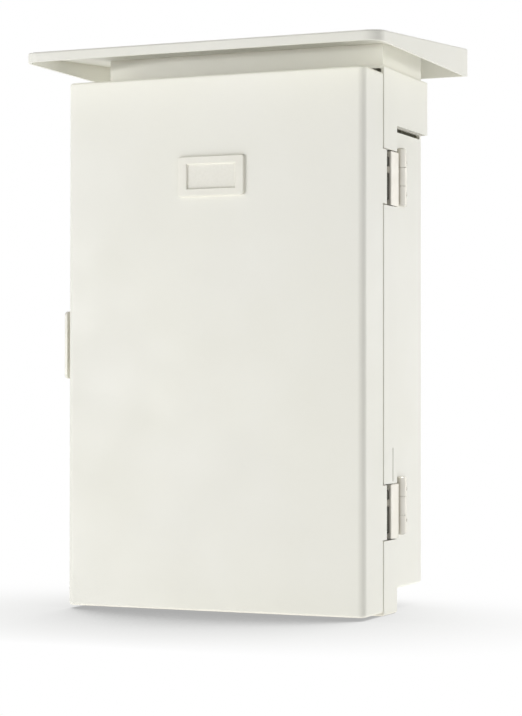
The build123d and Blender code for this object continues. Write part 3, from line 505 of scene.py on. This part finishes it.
def make_piece(name, source, recipe, body, slot, stands_for, **values):
    """Runs a recipe on a source object and keeps the result as a piece that rides on a body."""
    modifier = source.modifiers.new("recipe", "NODES")
    modifier.node_group = recipe
    for item in recipe.interface.items_tree:
        key = item.name.replace(" ", "_")
        if item.item_type == "SOCKET" and item.in_out == "INPUT" and key in values:
            modifier[item.identifier] = values[key]
    graph = bpy.context.evaluated_depsgraph_get()
    mesh = bpy.data.meshes.new_from_object(source.evaluated_get(graph), depsgraph=graph)
    source.modifiers.clear()
    bpy.data.objects.remove(source)
    mesh.name = name
    work = bmesh.new()
    work.from_mesh(mesh)
    bmesh.ops.recalc_face_normals(work, faces=work.faces)
    work.to_mesh(mesh)
    work.free()
    piece = bpy.data.objects.new(name, mesh)
    bpy.context.scene.collection.objects.link(piece)
    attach(piece, body)
    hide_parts(*stands_for)
    finished.update(stands_for)
    print(name, len(mesh.polygons), "faces")
    return piece


# %% [markdown]
# ## Turned pieces
# Screws, washers, pins and cable entries are all turned shapes: half of the outline, spun
# round an axis. The recipe takes the outline as a curve, sweeps it round a circle after moving
# it inwards by that circle's radius, and welds it shut at the axis. A driver's recess is then
# cut out with a Mesh Boolean, once, before the copies are set at their places. Each copy is
# spun by chance round its own axis, as no two screws stop at the same angle.


# %% Cut a driver's recess
def hexagon_tool(tree, across, depth):
    """A six sided bar that reaches depth into the head."""
    across_to_corner = 0.577
    half = reckon(tree, "MULTIPLY", across, across_to_corner)
    bar = add(
        tree,
        "GeometryNodeMeshCone",
        Vertices=6,
        Radius_Top=half,
        Radius_Bottom=half,
        Depth=reckon(tree, "MULTIPLY", depth, 2.0),
    )
    lowered = add(
        tree,
        "GeometryNodeTransform",
        Geometry=bar.outputs["Mesh"],
        Translation=vector(tree, z=reckon(tree, "MULTIPLY", depth, -1.0)),
    )
    return lowered.outputs["Geometry"]


def cross_blade(tree, width, thickness, height):
    """One bar of a cross, narrower at its lower end."""
    slope = 1.1
    blade = add(tree, "GeometryNodeMeshCube", Size=vector(tree, width, thickness, height))
    here = tree.nodes.new("GeometryNodeInputPosition").outputs[0]
    up = add(tree, "ShaderNodeSeparateXYZ", Vector=here).outputs["Z"]
    share = reckon(tree, "DIVIDE", up, height)
    taper = reckon(tree, "ADD", reckon(tree, "MULTIPLY", share, slope), 1.0)
    narrowed = tree.nodes.new("ShaderNodeVectorMath")
    narrowed.operation = "MULTIPLY"
    tree.links.new(here, narrowed.inputs[0])
    tree.links.new(vector(tree, taper, taper, 1.0), narrowed.inputs[1])
    return add(
        tree,
        "GeometryNodeSetPosition",
        Geometry=blade.outputs["Mesh"],
        Position=narrowed.outputs[0],
    ).outputs["Geometry"]


def cut_recess(tree, given, solid, shape):
    """Takes a cross or a hexagon out of the middle of a head."""
    across = given["Recess Across"]
    depth = given["Recess Depth"]
    if shape == "hexagon":
        tools = [hexagon_tool(tree, across, depth)]
    else:
        blade_share = 0.26
        thin = reckon(tree, "MULTIPLY", across, blade_share)
        high = reckon(tree, "MULTIPLY", depth, 2.0)
        tools = [cross_blade(tree, *size, high) for size in ((across, thin), (thin, across))]
    cut = tree.nodes.new("GeometryNodeMeshBoolean")
    cut.operation = "DIFFERENCE"
    cut.solver = "EXACT"
    tree.links.new(solid, cut.inputs["Mesh 1"])
    for tool in tools:
        tree.links.new(tool, cut.inputs["Mesh 2"])
    return cut.outputs["Mesh"]


print("recess helpers", hexagon_tool.__name__, cross_blade.__name__, cut_recess.__name__)


# %% Turn each copy by chance
def turned_by_chance(tree, given):
    """The rotation of a copy: its axis along its facing, and a chance angle round that axis."""
    facing = tree.nodes.new("GeometryNodeInputNamedAttribute")
    facing.data_type = "FLOAT_VECTOR"
    facing.inputs["Name"].default_value = "facing"
    aimed = tree.nodes.new("FunctionNodeAlignRotationToVector")
    aimed.axis = "Z"
    tree.links.new(facing.outputs["Attribute"], aimed.inputs["Vector"])
    chance = tree.nodes.new("FunctionNodeRandomValue")
    chance.data_type = "FLOAT"
    lowest, highest = [socket for socket in chance.inputs if socket.enabled][:2]
    lowest.default_value = 0.0
    highest.default_value = math.tau
    tree.links.new(given["Seed"], chance.inputs["Seed"])
    angle = [socket for socket in chance.outputs if socket.enabled][0]
    spin = add(tree, "FunctionNodeEulerToRotation", Euler=vector(tree, z=angle))
    both = tree.nodes.new("FunctionNodeRotateRotation")
    both.rotation_space = "LOCAL"
    tree.links.new(aimed.outputs["Rotation"], both.inputs["Rotation"])
    tree.links.new(spin.outputs["Rotation"], both.inputs["Rotate By"])
    return both.outputs["Rotation"]


print("rotation helper", turned_by_chance.__name__)


# %% The recipe for turned pieces
def turned_recipe(name, recess=None):
    """Turns a profile, cuts a cross or a hexagon in its end, and sets it at every place."""
    tree, given, result = new_recipe(
        name,
        Profile="NodeSocketObject",
        Facets="NodeSocketInt",
        Recess_Across=3.0 * MM,
        Recess_Depth=1.5 * MM,
        Seed="NodeSocketInt",
        Finish="NodeSocketMaterial",
    )
    core = 10.0 * MM
    weld = 0.005 * MM
    drawing = add(tree, "GeometryNodeObjectInfo", Object=given["Profile"])
    outline = add(tree, "GeometryNodeMeshToCurve", Mesh=drawing.outputs["Geometry"])
    inward = add(
        tree, "GeometryNodeSetPosition", Geometry=outline.outputs[0], Offset=(-core, 0.0, 0.0)
    )
    circle = add(tree, "GeometryNodeCurvePrimitiveCircle", Resolution=given["Facets"], Radius=core)
    swept = add(
        tree,
        "GeometryNodeCurveToMesh",
        Curve=circle.outputs["Curve"],
        Profile_Curve=inward.outputs["Geometry"],
    )
    solid = add(
        tree, "GeometryNodeMergeByDistance", Geometry=swept.outputs["Mesh"], Distance=weld
    ).outputs["Geometry"]
    if recess:
        solid = cut_recess(tree, given, solid, recess)
    copies = add(
        tree,
        "GeometryNodeInstanceOnPoints",
        Points=given["Geometry"],
        Instance=solid,
        Rotation=turned_by_chance(tree, given),
    )
    finish_recipe(tree, copies.outputs["Instances"], given["Finish"], result)
    return tree


plain_turned = turned_recipe("turned_piece")
cross_turned = turned_recipe("turned_piece_with_cross", "cross")
socket_turned = turned_recipe("turned_piece_with_hexagon", "hexagon")
print("recipes", plain_turned.name, cross_turned.name, socket_turned.name)

# %% [markdown]
# ## Outlines of the turned pieces
# Each outline starts at the middle of the outer end. Its pairs are millimetres: the distance
# from the axis, and the height, which is negative below that end. A pan head is a flat dome, a
# countersunk head a cone, and a pin has a low dome at both ends.


# %% Outlines
def pan_head(shank, head, height, length):
    """A domed head on a straight shank."""
    dome_share = 0.62
    dome = dome_share * height
    steps = [math.radians(angle) for angle in range(0, 91, 15)]
    outline = [(head * math.sin(a), dome * (math.cos(a) - 1.0)) for a in steps]
    return outline + [(head, -height), (shank, -height), (shank, -length), (0.0, -length)]


def flat_head(shank, head, cone, length):
    """A countersunk head, flush with what it holds."""
    rim = 0.25
    burr = 0.05
    return [
        (0.0, 0.0),
        (head - rim, 0.0),
        (head - burr, -rim),
        (shank, -cone),
        (shank, -length),
        (0.0, -length),
    ]


def pin(radius, head, height, length):
    """A pin with a low dome at both ends."""
    steps = ((0.0, 0.0), (0.45, 0.08), (0.8, 0.4), (1.0, 1.0))
    top = [(out * head, -down * height) for out, down in steps]
    middle = [(radius, -height), (radius, height - length)]
    return top + middle + [(r, -length - z) for r, z in reversed(top)]


print("pan head", [tuple(round(v, 2) for v in pair) for pair in pan_head(2.0, 3.8, 2.6, 7.2)][:4])

# %% Set a turned piece in place
facets = 28
spin_seed = 7


def turn(name, stands_for, axis, outline, recipe, body, slot, finish, closed=False, **sizes):
    """Turns an outline and sets it in place of every solid of a fixed piece."""
    ends = head_ends(stands_for, axis)
    points = [(r * MM, -z * MM, 0.0) for r, z in outline(ends[0][2] / MM)]
    edges = [(k, k + 1) for k in range(len(points) - 1)]
    if closed:
        edges.append((len(points) - 1, 0))
    drawing = new_object(name + "_outline", points, edges)
    places = new_object(name + "_places", [spot for spot, facing, length in ends])
    ways = places.data.attributes.new("facing", "FLOAT_VECTOR", "POINT")
    for k, (spot, facing, length) in enumerate(ends):
        ways.data[k].vector = facing
    values = {key: size * MM for key, size in sizes.items()}
    values.update(Profile=drawing, Facets=facets, Seed=spin_seed, Finish=finish)
    piece = make_piece(name, places, recipe, body, slot, [stands_for], **values)
    bpy.data.objects.remove(drawing)
    return piece


print("facets of a turned piece", facets)

# %% Screws, bolts and pins
# Each row: the body, the axis, then the radii of shank and head and the head's height in mm.
pan_heads = {
    "hinge_body_screws": ("cabinet", 0, 2.0, 3.8, 2.6),
    "latch_base_screws": ("cabinet", 0, 2.0, 3.8, 2.6),
    "latch_keeper_screws": ("door", 0, 1.5, 2.8, 2.0),
    "vent_hood_screws": ("cabinet", 0, 1.5, 2.8, 2.0),
    "roof_screws": ("cabinet", 2, 3.0, 5.5, 4.0),
}
for name, (body, axis, shank, head, height) in pan_heads.items():
    turn(
        name + "_turned",
        name,
        axis,
        lambda length: pan_head(shank, head, height, length),
        cross_turned,
        body,
        "stainless",
        turned,
        Recess_Across=1.15 * head,
        Recess_Depth=0.6 * height,
    )
flat_heads = {
    "hinge_door_screws": ("door", 0, 2.0, 3.8, 1.8),
    "mounting_plate_screws": ("cabinet", 1, 2.5, 4.5, 2.0),
}
for name, (body, axis, shank, head, cone) in flat_heads.items():
    turn(
        name + "_turned",
        name,
        axis,
        lambda length: flat_head(shank, head, cone, length),
        cross_turned,
        body,
        "stainless",
        turned,
        Recess_Across=1.1 * head,
        Recess_Depth=0.8 * cone,
    )
turn(
    "rail_bolts_turned",
    "rail_bolts",
    1,
    lambda length: pan_head(4.0, 6.5, 5.5, length),
    socket_turned,
    "cabinet",
    "stainless",
    turned,
    Recess_Across=5.0,
    Recess_Depth=3.0,
)
turn(
    "hinge_pins_turned",
    "hinge_pins",
    2,
    lambda length: pin(3.0, 4.2, 1.5, length),
    plain_turned,
    "cabinet",
    "stainless",
    turned,
)

# %% [markdown]
# ## Rubber rings and cable entries
# A sealing washer that is screwed down bulges at its rim. A cable entry grips the floor of
# the tub in a groove; its membrane has steps, along which it is cut open to fit the cable.


# %% Washers and cable entries
def squeezed_ring(inner, outer, height):
    """A ring whose rim bulges."""
    half = height / 2
    flat_to = outer - 0.7
    soft = [(flat_to, 0.0), (outer - 0.2, 0.2), (outer, half - 0.25)]
    lower = [(r, -height - z) for r, z in reversed([(r, -z) for r, z in soft])]
    return [(inner, 0.0)] + [(r, -z) for r, z in soft] + lower + [(inner, -height)]


def cable_entry(length):
    """From the middle of the membrane's outer face round both lips to its inner face."""
    steps = [(0.0, -0.9), (4.4, -0.9), (4.8, -1.4), (8.4, -1.4), (8.8, -1.9), (12.3, -1.9)]
    outer_lip = [(13.0, -1.4), (13.0, -0.6), (13.5, 0.0), (19.3, 0.0), (20.0, -0.7), (20.0, -2.5)]
    groove = [(19.6, -3.0), (16.0, -3.0), (16.0, -6.0), (19.7, -6.0)]
    inner_lip = [(19.9, -6.5), (17.4, -8.8), (16.8, -length), (13.7, -length)]
    funnel = [(13.0, 0.6 - length), (11.6, -4.1), (11.0, -3.4)]
    inner_steps = [(9.2, -3.4), (8.8, -2.9), (5.2, -2.9), (4.8, -2.4), (0.0, -2.4)]
    return steps + outer_lip + groove + inner_lip + funnel + inner_steps


for name, axis, inner, outer in (
    ("roof_sealing_washers", 2, 3.0, 7.0),
    ("rail_sealing_washers", 1, 4.0, 8.0),
):
    turn(
        name + "_soft",
        name,
        axis,
        lambda length: squeezed_ring(inner, outer, length),
        plain_turned,
        "cabinet",
        "rubber",
        rubber,
        closed=True,
    )
turn(
    "cable_grommets_soft",
    "cable_grommets",
    2,
    cable_entry,
    plain_turned,
    "cabinet",
    "rubber",
    rubber,
)

# %% [markdown]
# ## The door's foam seal
# The seal is one length of foamed rubber, pressed between two ribs of the door and joined end
# to end. Its section has a foot with small barbs that grip the ribs, and a round bulb that meets
# the edge of the tub. The recipe sweeps that section along a rectangle with round corners, and
# then tips it upright. The sweep lays the section's heights the wrong way round, so they are
# drawn with a minus, and the last cell prints the depths that come out.

# %% The recipe for a swept seal
seal_recipe, given, result = new_recipe(
    "swept_seal",
    Profile="NodeSocketObject",
    Width=0.28,
    Height=0.46,
    Bend=4.0 * MM,
    Middle="NodeSocketVector",
    Finish="NodeSocketMaterial",
)
path = add(
    seal_recipe,
    "GeometryNodeCurvePrimitiveQuadrilateral",
    Width=given["Width"],
    Height=given["Height"],
)
bent = seal_recipe.nodes.new("GeometryNodeFilletCurve")
bent.mode = "POLY"
bent.inputs["Count"].default_value = 6
bent.inputs["Limit Radius"].default_value = True
seal_recipe.links.new(path.outputs["Curve"], bent.inputs["Curve"])
seal_recipe.links.new(given["Bend"], bent.inputs["Radius"])
level = add(seal_recipe, "GeometryNodeSetCurveNormal", Curve=bent.outputs["Curve"])
level.mode = "Z_UP"
drawing = add(seal_recipe, "GeometryNodeObjectInfo", Object=given["Profile"])
section = add(seal_recipe, "GeometryNodeMeshToCurve", Mesh=drawing.outputs["Geometry"])
swept = add(
    seal_recipe,
    "GeometryNodeCurveToMesh",
    Curve=level.outputs["Curve"],
    Profile_Curve=section.outputs[0],
)
upright = add(
    seal_recipe,
    "GeometryNodeTransform",
    Geometry=swept.outputs["Mesh"],
    Translation=given["Middle"],
    Rotation=(math.radians(-90), 0.0, 0.0),
)
finish_recipe(seal_recipe, upright.outputs["Geometry"], given["Finish"], result)
print("recipe", seal_recipe.name)

# %% Sweep the door seal
low, high = (Vector(corner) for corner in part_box("door_gasket"))
half = 2.9
height = (high.y - low.y) / MM
neck_share = 0.42
neck = neck_share * height
barbs = [(half - 0.3, 0.0), (half, 0.5), (half - 0.4, 1.2), (half, 1.7), (half - 0.4, 2.4)]
bulb = [
    (half * math.cos(math.radians(a)), neck + (height - neck) * math.sin(math.radians(a)))
    for a in range(0, 181, 15)
]
section = barbs + bulb + [(-x, y) for x, y in reversed(barbs)]
drawing = new_object(
    "seal_section",
    [(x * MM, -y * MM, 0.0) for x, y in section],
    [(k, (k + 1) % len(section)) for k in range(len(section))],
)
seal = make_piece(
    "door_gasket_foam",
    new_object("seal_start", [(0.0, 0.0, 0.0)]),
    seal_recipe,
    "door",
    "rubber",
    ["door_gasket"],
    Profile=drawing,
    Width=high.x - low.x - 2 * half * MM,
    Height=high.z - low.z - 2 * half * MM,
    Middle=((low.x + high.x) / 2, low.y, (low.z + high.z) / 2),
    Finish=foam,
)
bpy.data.objects.remove(drawing)
depths = [vertex.co.y / MM for vertex in seal.data.vertices]
print("seal from", round(min(depths), 2), "to", round(max(depths), 2), "mm deep")

# %% [markdown]
# ## Woven insect screens
# An insect screen is plain weave of thin wire: each wire goes over one and under the next, and
# its neighbour does the opposite. A cosine gives that wave, and because it adds the place along
# and the place across, its sign changes from wire to wire by itself. The weave is clamped in a
# small moulded frame.

# %% The recipe for a woven screen
weave_recipe, given, result = new_recipe(
    "woven_screen",
    Pitch=1.7 * MM,
    Wire=0.32 * MM,
    Columns="NodeSocketInt",
    Rows="NodeSocketInt",
    Middle="NodeSocketVector",
    Finish="NodeSocketMaterial",
)


sides_of_a_wire = 5


def wires(tree, given, along, count_along, count_across, sign):
    """One set of parallel wires in the plane x = 0, waved over and under the other set."""
    pitch = given["Pitch"]
    length = reckon(tree, "MULTIPLY", given[count_along], pitch)
    half = reckon(tree, "MULTIPLY", length, 0.5)
    back = reckon(tree, "MULTIPLY", length, -0.5)
    ends = [vector(tree, **{along: value}) for value in (back, half)]
    line = add(tree, "GeometryNodeCurvePrimitiveLine", Start=ends[0], End=ends[1])
    steps = reckon(tree, "ADD", reckon(tree, "MULTIPLY", given[count_along], 2.0), 1.0)
    cut = add(tree, "GeometryNodeResampleCurve", Curve=line.outputs["Curve"], Count=steps)
    across = "z" if along == "y" else "y"
    first = reckon(tree, "MULTIPLY", reckon(tree, "SUBTRACT", given[count_across], 1.0), -0.5)
    first = reckon(tree, "MULTIPLY", first, pitch)
    places = add(
        tree,
        "GeometryNodeMeshLine",
        Count=given[count_across],
        Start_Location=vector(tree, **{across: first}),
        Offset=vector(tree, **{across: pitch}),
    )
    copies = add(
        tree,
        "GeometryNodeInstanceOnPoints",
        Points=places.outputs["Mesh"],
        Instance=cut.outputs["Curve"],
    )
    real = add(tree, "GeometryNodeRealizeInstances", Geometry=copies.outputs["Instances"])
    here = add(
        tree,
        "ShaderNodeSeparateXYZ",
        Vector=tree.nodes.new("GeometryNodeInputPosition").outputs[0],
    )
    total = reckon(tree, "ADD", here.outputs["Y"], here.outputs["Z"])
    shift = reckon(tree, "ADD", given["Columns"], given["Rows"])
    shift = reckon(tree, "MULTIPLY", shift, 0.5)
    turns = reckon(tree, "ADD", reckon(tree, "DIVIDE", total, pitch), shift)
    wave = reckon(tree, "COSINE", reckon(tree, "MULTIPLY", turns, math.pi))
    lift = reckon(tree, "MULTIPLY", wave, reckon(tree, "MULTIPLY", given["Wire"], 0.5 * sign))
    waved = add(
        tree,
        "GeometryNodeSetPosition",
        Geometry=real.outputs["Geometry"],
        Offset=vector(tree, x=lift),
    )
    thin = add(
        tree,
        "GeometryNodeCurvePrimitiveCircle",
        Resolution=sides_of_a_wire,
        Radius=reckon(tree, "MULTIPLY", given["Wire"], 0.5),
    )
    tube = add(
        tree,
        "GeometryNodeCurveToMesh",
        Curve=waved.outputs["Geometry"],
        Profile_Curve=thin.outputs["Curve"],
        Fill_Caps=True,
    )
    return tube.outputs["Mesh"]


both = join(
    weave_recipe,
    wires(weave_recipe, given, "y", "Columns", "Rows", 1.0),
    wires(weave_recipe, given, "z", "Rows", "Columns", -1.0),
)
moved = add(weave_recipe, "GeometryNodeTransform", Geometry=both, Translation=given["Middle"])
whole = join(weave_recipe, given["Geometry"], moved.outputs["Geometry"])
finish_recipe(weave_recipe, whole, given["Finish"], result)
print("recipe", weave_recipe.name)


# %% Weave both screens
def clamp_frame(name, low, high, window_low, window_high):
    """A flat moulded frame round a window, with softened edges."""
    work = bmesh.new()
    rings = []
    for x in (low.x, high.x):
        for a, b in ((low, high), (window_low, window_high)):
            corners = ((a.y, a.z), (b.y, a.z), (b.y, b.z), (a.y, b.z))
            rings.append([work.verts.new((x, y, z)) for y, z in corners])
    outer_near, inner_near, outer_far, inner_far = rings
    for one, other in (
        (outer_near, inner_near),
        (outer_far, inner_far),
        (outer_near, outer_far),
        (inner_near, inner_far),
    ):
        for k in range(4):
            m = (k + 1) % 4
            work.faces.new((one[k], one[m], other[m], other[k]))
    bmesh.ops.recalc_face_normals(work, faces=work.faces)
    sharp_fold = 0.5
    soft_edge = 0.35 * MM
    folds = [edge for edge in work.edges if edge.calc_face_angle() > sharp_fold]
    bmesh.ops.bevel(work, geom=folds, offset=soft_edge, segments=3, affect="EDGES")
    thing = new_object(name, [])
    work.to_mesh(thing.data)
    work.free()
    return thing


pitch = 1.7
wire = 0.32
frame_bar = 4.0
frame_top_bar = 9.6
weave_behind_wall = 0.5
for side in ("right", "left"):
    low, high = (Vector(corner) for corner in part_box("insect_screen_" + side))
    window_low = low + Vector((0.0, frame_bar, frame_bar)) * MM
    window_high = high - Vector((0.0, frame_bar, frame_top_bar)) * MM
    columns = int((window_high.y - window_low.y) / MM / pitch) + 1
    rows = int((window_high.z - window_low.z) / MM / pitch) + 1
    wall_side = high.x if side == "right" else low.x
    inward = -1 if side == "right" else 1
    middle = (window_low + window_high) / 2
    make_piece(
        "insect_screen_" + side + "_woven",
        clamp_frame("screen_frame_" + side, low, high, window_low, window_high),
        weave_recipe,
        "cabinet",
        "screen",
        ["insect_screen_" + side],
        Pitch=pitch * MM,
        Wire=wire * MM,
        Columns=columns,
        Rows=rows,
        Middle=(wall_side + inward * weave_behind_wall * MM, middle.y, middle.z),
        Finish=screen,
    )

# %% [markdown]
# ## Foam pads in the hinge notches
# Where the hinge arms pass through the rim, foam pads close the notch from inside. Their dark
# foam also stands in for the deep shade inside the notch, so they are partly painted shade. Each
# is a small block, a little pinched by the steel behind it, so its edges are round and its outer
# face is pressed in a little, more in one place than in another.

# %% Notch pads
round_edge = 0.55 * MM
longest_edge = 2 * MM
pressed_in = 0.05
ripple = 0.03
ripple_reach_z = 1.9 * MM
ripple_reach_y = 2.7 * MM
work = bmesh.new()
for points in solids_of("hinge_notch_seals"):
    low = Vector([min(point[k] for point in points) for k in range(3)])
    high = Vector([max(point[k] for point in points) for k in range(3)])
    size = high - low
    cube = bmesh.ops.create_cube(work, size=1.0)["verts"]
    for vert in cube:
        vert.co = Vector([low[k] + (vert.co[k] + 0.5) * size[k] for k in range(3)])
    block_edges = {edge for vert in cube for edge in vert.link_edges}
    bmesh.ops.bevel(work, geom=list(block_edges), offset=round_edge, segments=3, affect="EDGES")
long_edges = [edge for edge in work.edges if edge.calc_length() > longest_edge]
bmesh.ops.subdivide_edges(work, edges=long_edges, cuts=5, use_grid_fill=True)
for vert in work.verts:
    if vert.normal.x > 0:
        wave = math.sin(vert.co.z / ripple_reach_z) + math.sin(vert.co.y / ripple_reach_y)
        vert.co.x -= (pressed_in + ripple * wave) * MM
# The new points and faces come in an order that changes from run to run, so they are sorted.
in_a_row = Vector((1.0, 3.7, 11.3))
work.verts.sort(key=lambda vert: vert.co.dot(in_a_row))
work.faces.sort(key=lambda face: face.calc_center_median().dot(in_a_row))
# Partly painted shade: the dark foam blocks fill the notch where deep shade falls.
pads = new_object("hinge_notch_pads", [])
work.to_mesh(pads.data)
work.free()
for face in pads.data.polygons:
    face.use_smooth = True
pads.data.materials.append(foam)
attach(pads, "door")
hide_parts("hinge_notch_seals")
finished.add("hinge_notch_seals")
print(pads.name, len(pads.data.polygons), "faces")
assert finished == set(nodes), finished ^ set(nodes)

# %% [markdown]
# ## Floor and white room
# The photo is a studio picture on white, where the object throws only a soft dark edge on the
# floor close to itself. A white box on a white floor lights its own shadow away, so the shadow
# that the camera sees on the floor is painted: an Ambient Occlusion node, tilted backwards,
# measures how much of the room the box shuts out, and a ramp turns that into painted grey shade.
# Away from the box the ramp ends in white. To the light, the floor is a plain one that glows a
# little like a light table, and the room is a dim white, so the roof's underside stays light.


# %% Helpers for the room
def seen_directly(tree):
    """1 where the camera, a reflection or a view through glass sees this surface."""
    path = tree.nodes.new("ShaderNodeLightPath").outputs
    plain_or_mirrored = reckon(tree, "MAXIMUM", path["Is Camera Ray"], path["Is Glossy Ray"])
    return reckon(tree, "MAXIMUM", plain_or_mirrored, path["Is Transmission Ray"])


def choose(tree, indirect, direct, kind):
    """Ends a tree: one shader for the light that travels on, one for what is seen directly."""
    pick = tree.nodes.new("ShaderNodeMixShader")
    tree.links.new(seen_directly(tree), pick.inputs[0])
    tree.links.new(indirect.outputs[0], pick.inputs[1])
    tree.links.new(direct.outputs[0], pick.inputs[2])
    output = tree.nodes.new(kind)
    tree.links.new(pick.outputs[0], output.inputs["Surface"])


print("room helpers", seen_directly.__name__, choose.__name__)


# %% Floor
floor_z = cad_box[0][2]
reach = 30.0
corners = ((-reach, -reach), (reach, -reach), (reach, reach), (-reach, reach))
floor_mesh = bpy.data.meshes.new("floor")
floor_mesh.from_pydata([(x, y, floor_z) for x, y in corners], [], [(0, 1, 2, 3)])
floor = bpy.data.objects.new("floor", floor_mesh)
bpy.context.scene.collection.objects.link(floor)
floor_finish = bpy.data.materials.new("white_floor")
floor_finish.use_nodes = True
tree = floor_finish.node_tree
tree.nodes.clear()
white = (1.0, 1.0, 1.0, 1.0)
plain = add(tree, "ShaderNodeBsdfDiffuse", Color=linear("#F2F2F2"))
glow = add(tree, "ShaderNodeEmission", Color=white, Strength=0.76)
table = tree.nodes.new("ShaderNodeAddShader")
tree.links.new(plain.outputs[0], table.inputs[0])
tree.links.new(glow.outputs[0], table.inputs[1])
shadow_width = 0.26
tilted_back = vector(tree, y=0.80, z=0.60)
open_sky = add(
    tree,
    "ShaderNodeAmbientOcclusion",
    Distance=shadow_width,
    Normal=tilted_back,
    samples=16,
)
# Painted shadow: the ramp turns the open share of the room into grey, darkest next to the box.
ramp = add(tree, "ShaderNodeValToRGB", Fac=open_sky.outputs["AO"])
stops = ramp.color_ramp.elements
for openness, level in ((0.43, 0.57), (0.48, 0.70), (0.57, 0.775), (0.75, 0.87)):
    stops.new(openness).color = (level, level, 0.99 * level, 1.0)
stops[0].position = 0.36
stops[0].color = (0.42, 0.42, 0.416, 1.0)
stops[len(stops) - 1].color = white
painted_floor_shadow = add(tree, "ShaderNodeEmission", Color=ramp.outputs["Color"], Strength=1.0)
choose(tree, table, painted_floor_shadow, "ShaderNodeOutputMaterial")
floor_mesh.materials.append(floor_finish)
print("floor at", round(floor_z / MM, 1), "mm")

# %% White room
room = bpy.data.worlds.new("white_room")
bpy.context.scene.world = room
room.use_nodes = True
tree = room.node_tree
tree.nodes.clear()
light = add(tree, "ShaderNodeBackground", Color=white, Strength=0.15)
backdrop = add(tree, "ShaderNodeBackground", Color=white, Strength=1.0)
choose(tree, light, backdrop, "ShaderNodeOutputWorld")
print("room strength", light.inputs["Strength"].default_value)

# %% [markdown]
# ## Lamps
# The rounded edge between the front and the right side is darker in the photo than both. That
# happens when one lamp stands far to the left and one behind the right side: each lights one
# wall at a slant, and neither reaches the edge between them. The right one is split in two at
# the same place, and only the weaker half shows in reflections, as the whole lamp would burn
# out the steel of the hinges. A weak lamp hangs over the roof.


# %% Lamps
lamp_aim = Vector((0.0, -0.12, 0.0))


def lamp(name, spot, width, height, power):
    """A rectangular area lamp that faces the middle of the box."""
    data = bpy.data.lights.new(name, "AREA")
    data.shape = "RECTANGLE"
    data.size = width
    data.size_y = height
    data.energy = power
    thing = bpy.data.objects.new(name, data)
    bpy.context.scene.collection.objects.link(thing)
    thing.location = spot
    thing.rotation_euler = (lamp_aim - Vector(spot)).to_track_quat("-Z", "Y").to_euler()
    return thing


right_spot = (3.40, 3.60, 0.10)
lamp("lamp_left", (-2.60, -3.40, -0.12), width=1.6, height=0.25, power=63.0)
lamp("lamp_right", right_spot, width=2.0, height=0.7, power=24.0)
soft_right = lamp("lamp_right_soft", right_spot, width=2.0, height=0.7, power=70.0)
soft_right.visible_glossy = False
lamp("lamp_above", (0.0, 0.50, 2.00), width=1.5, height=1.5, power=20.0)
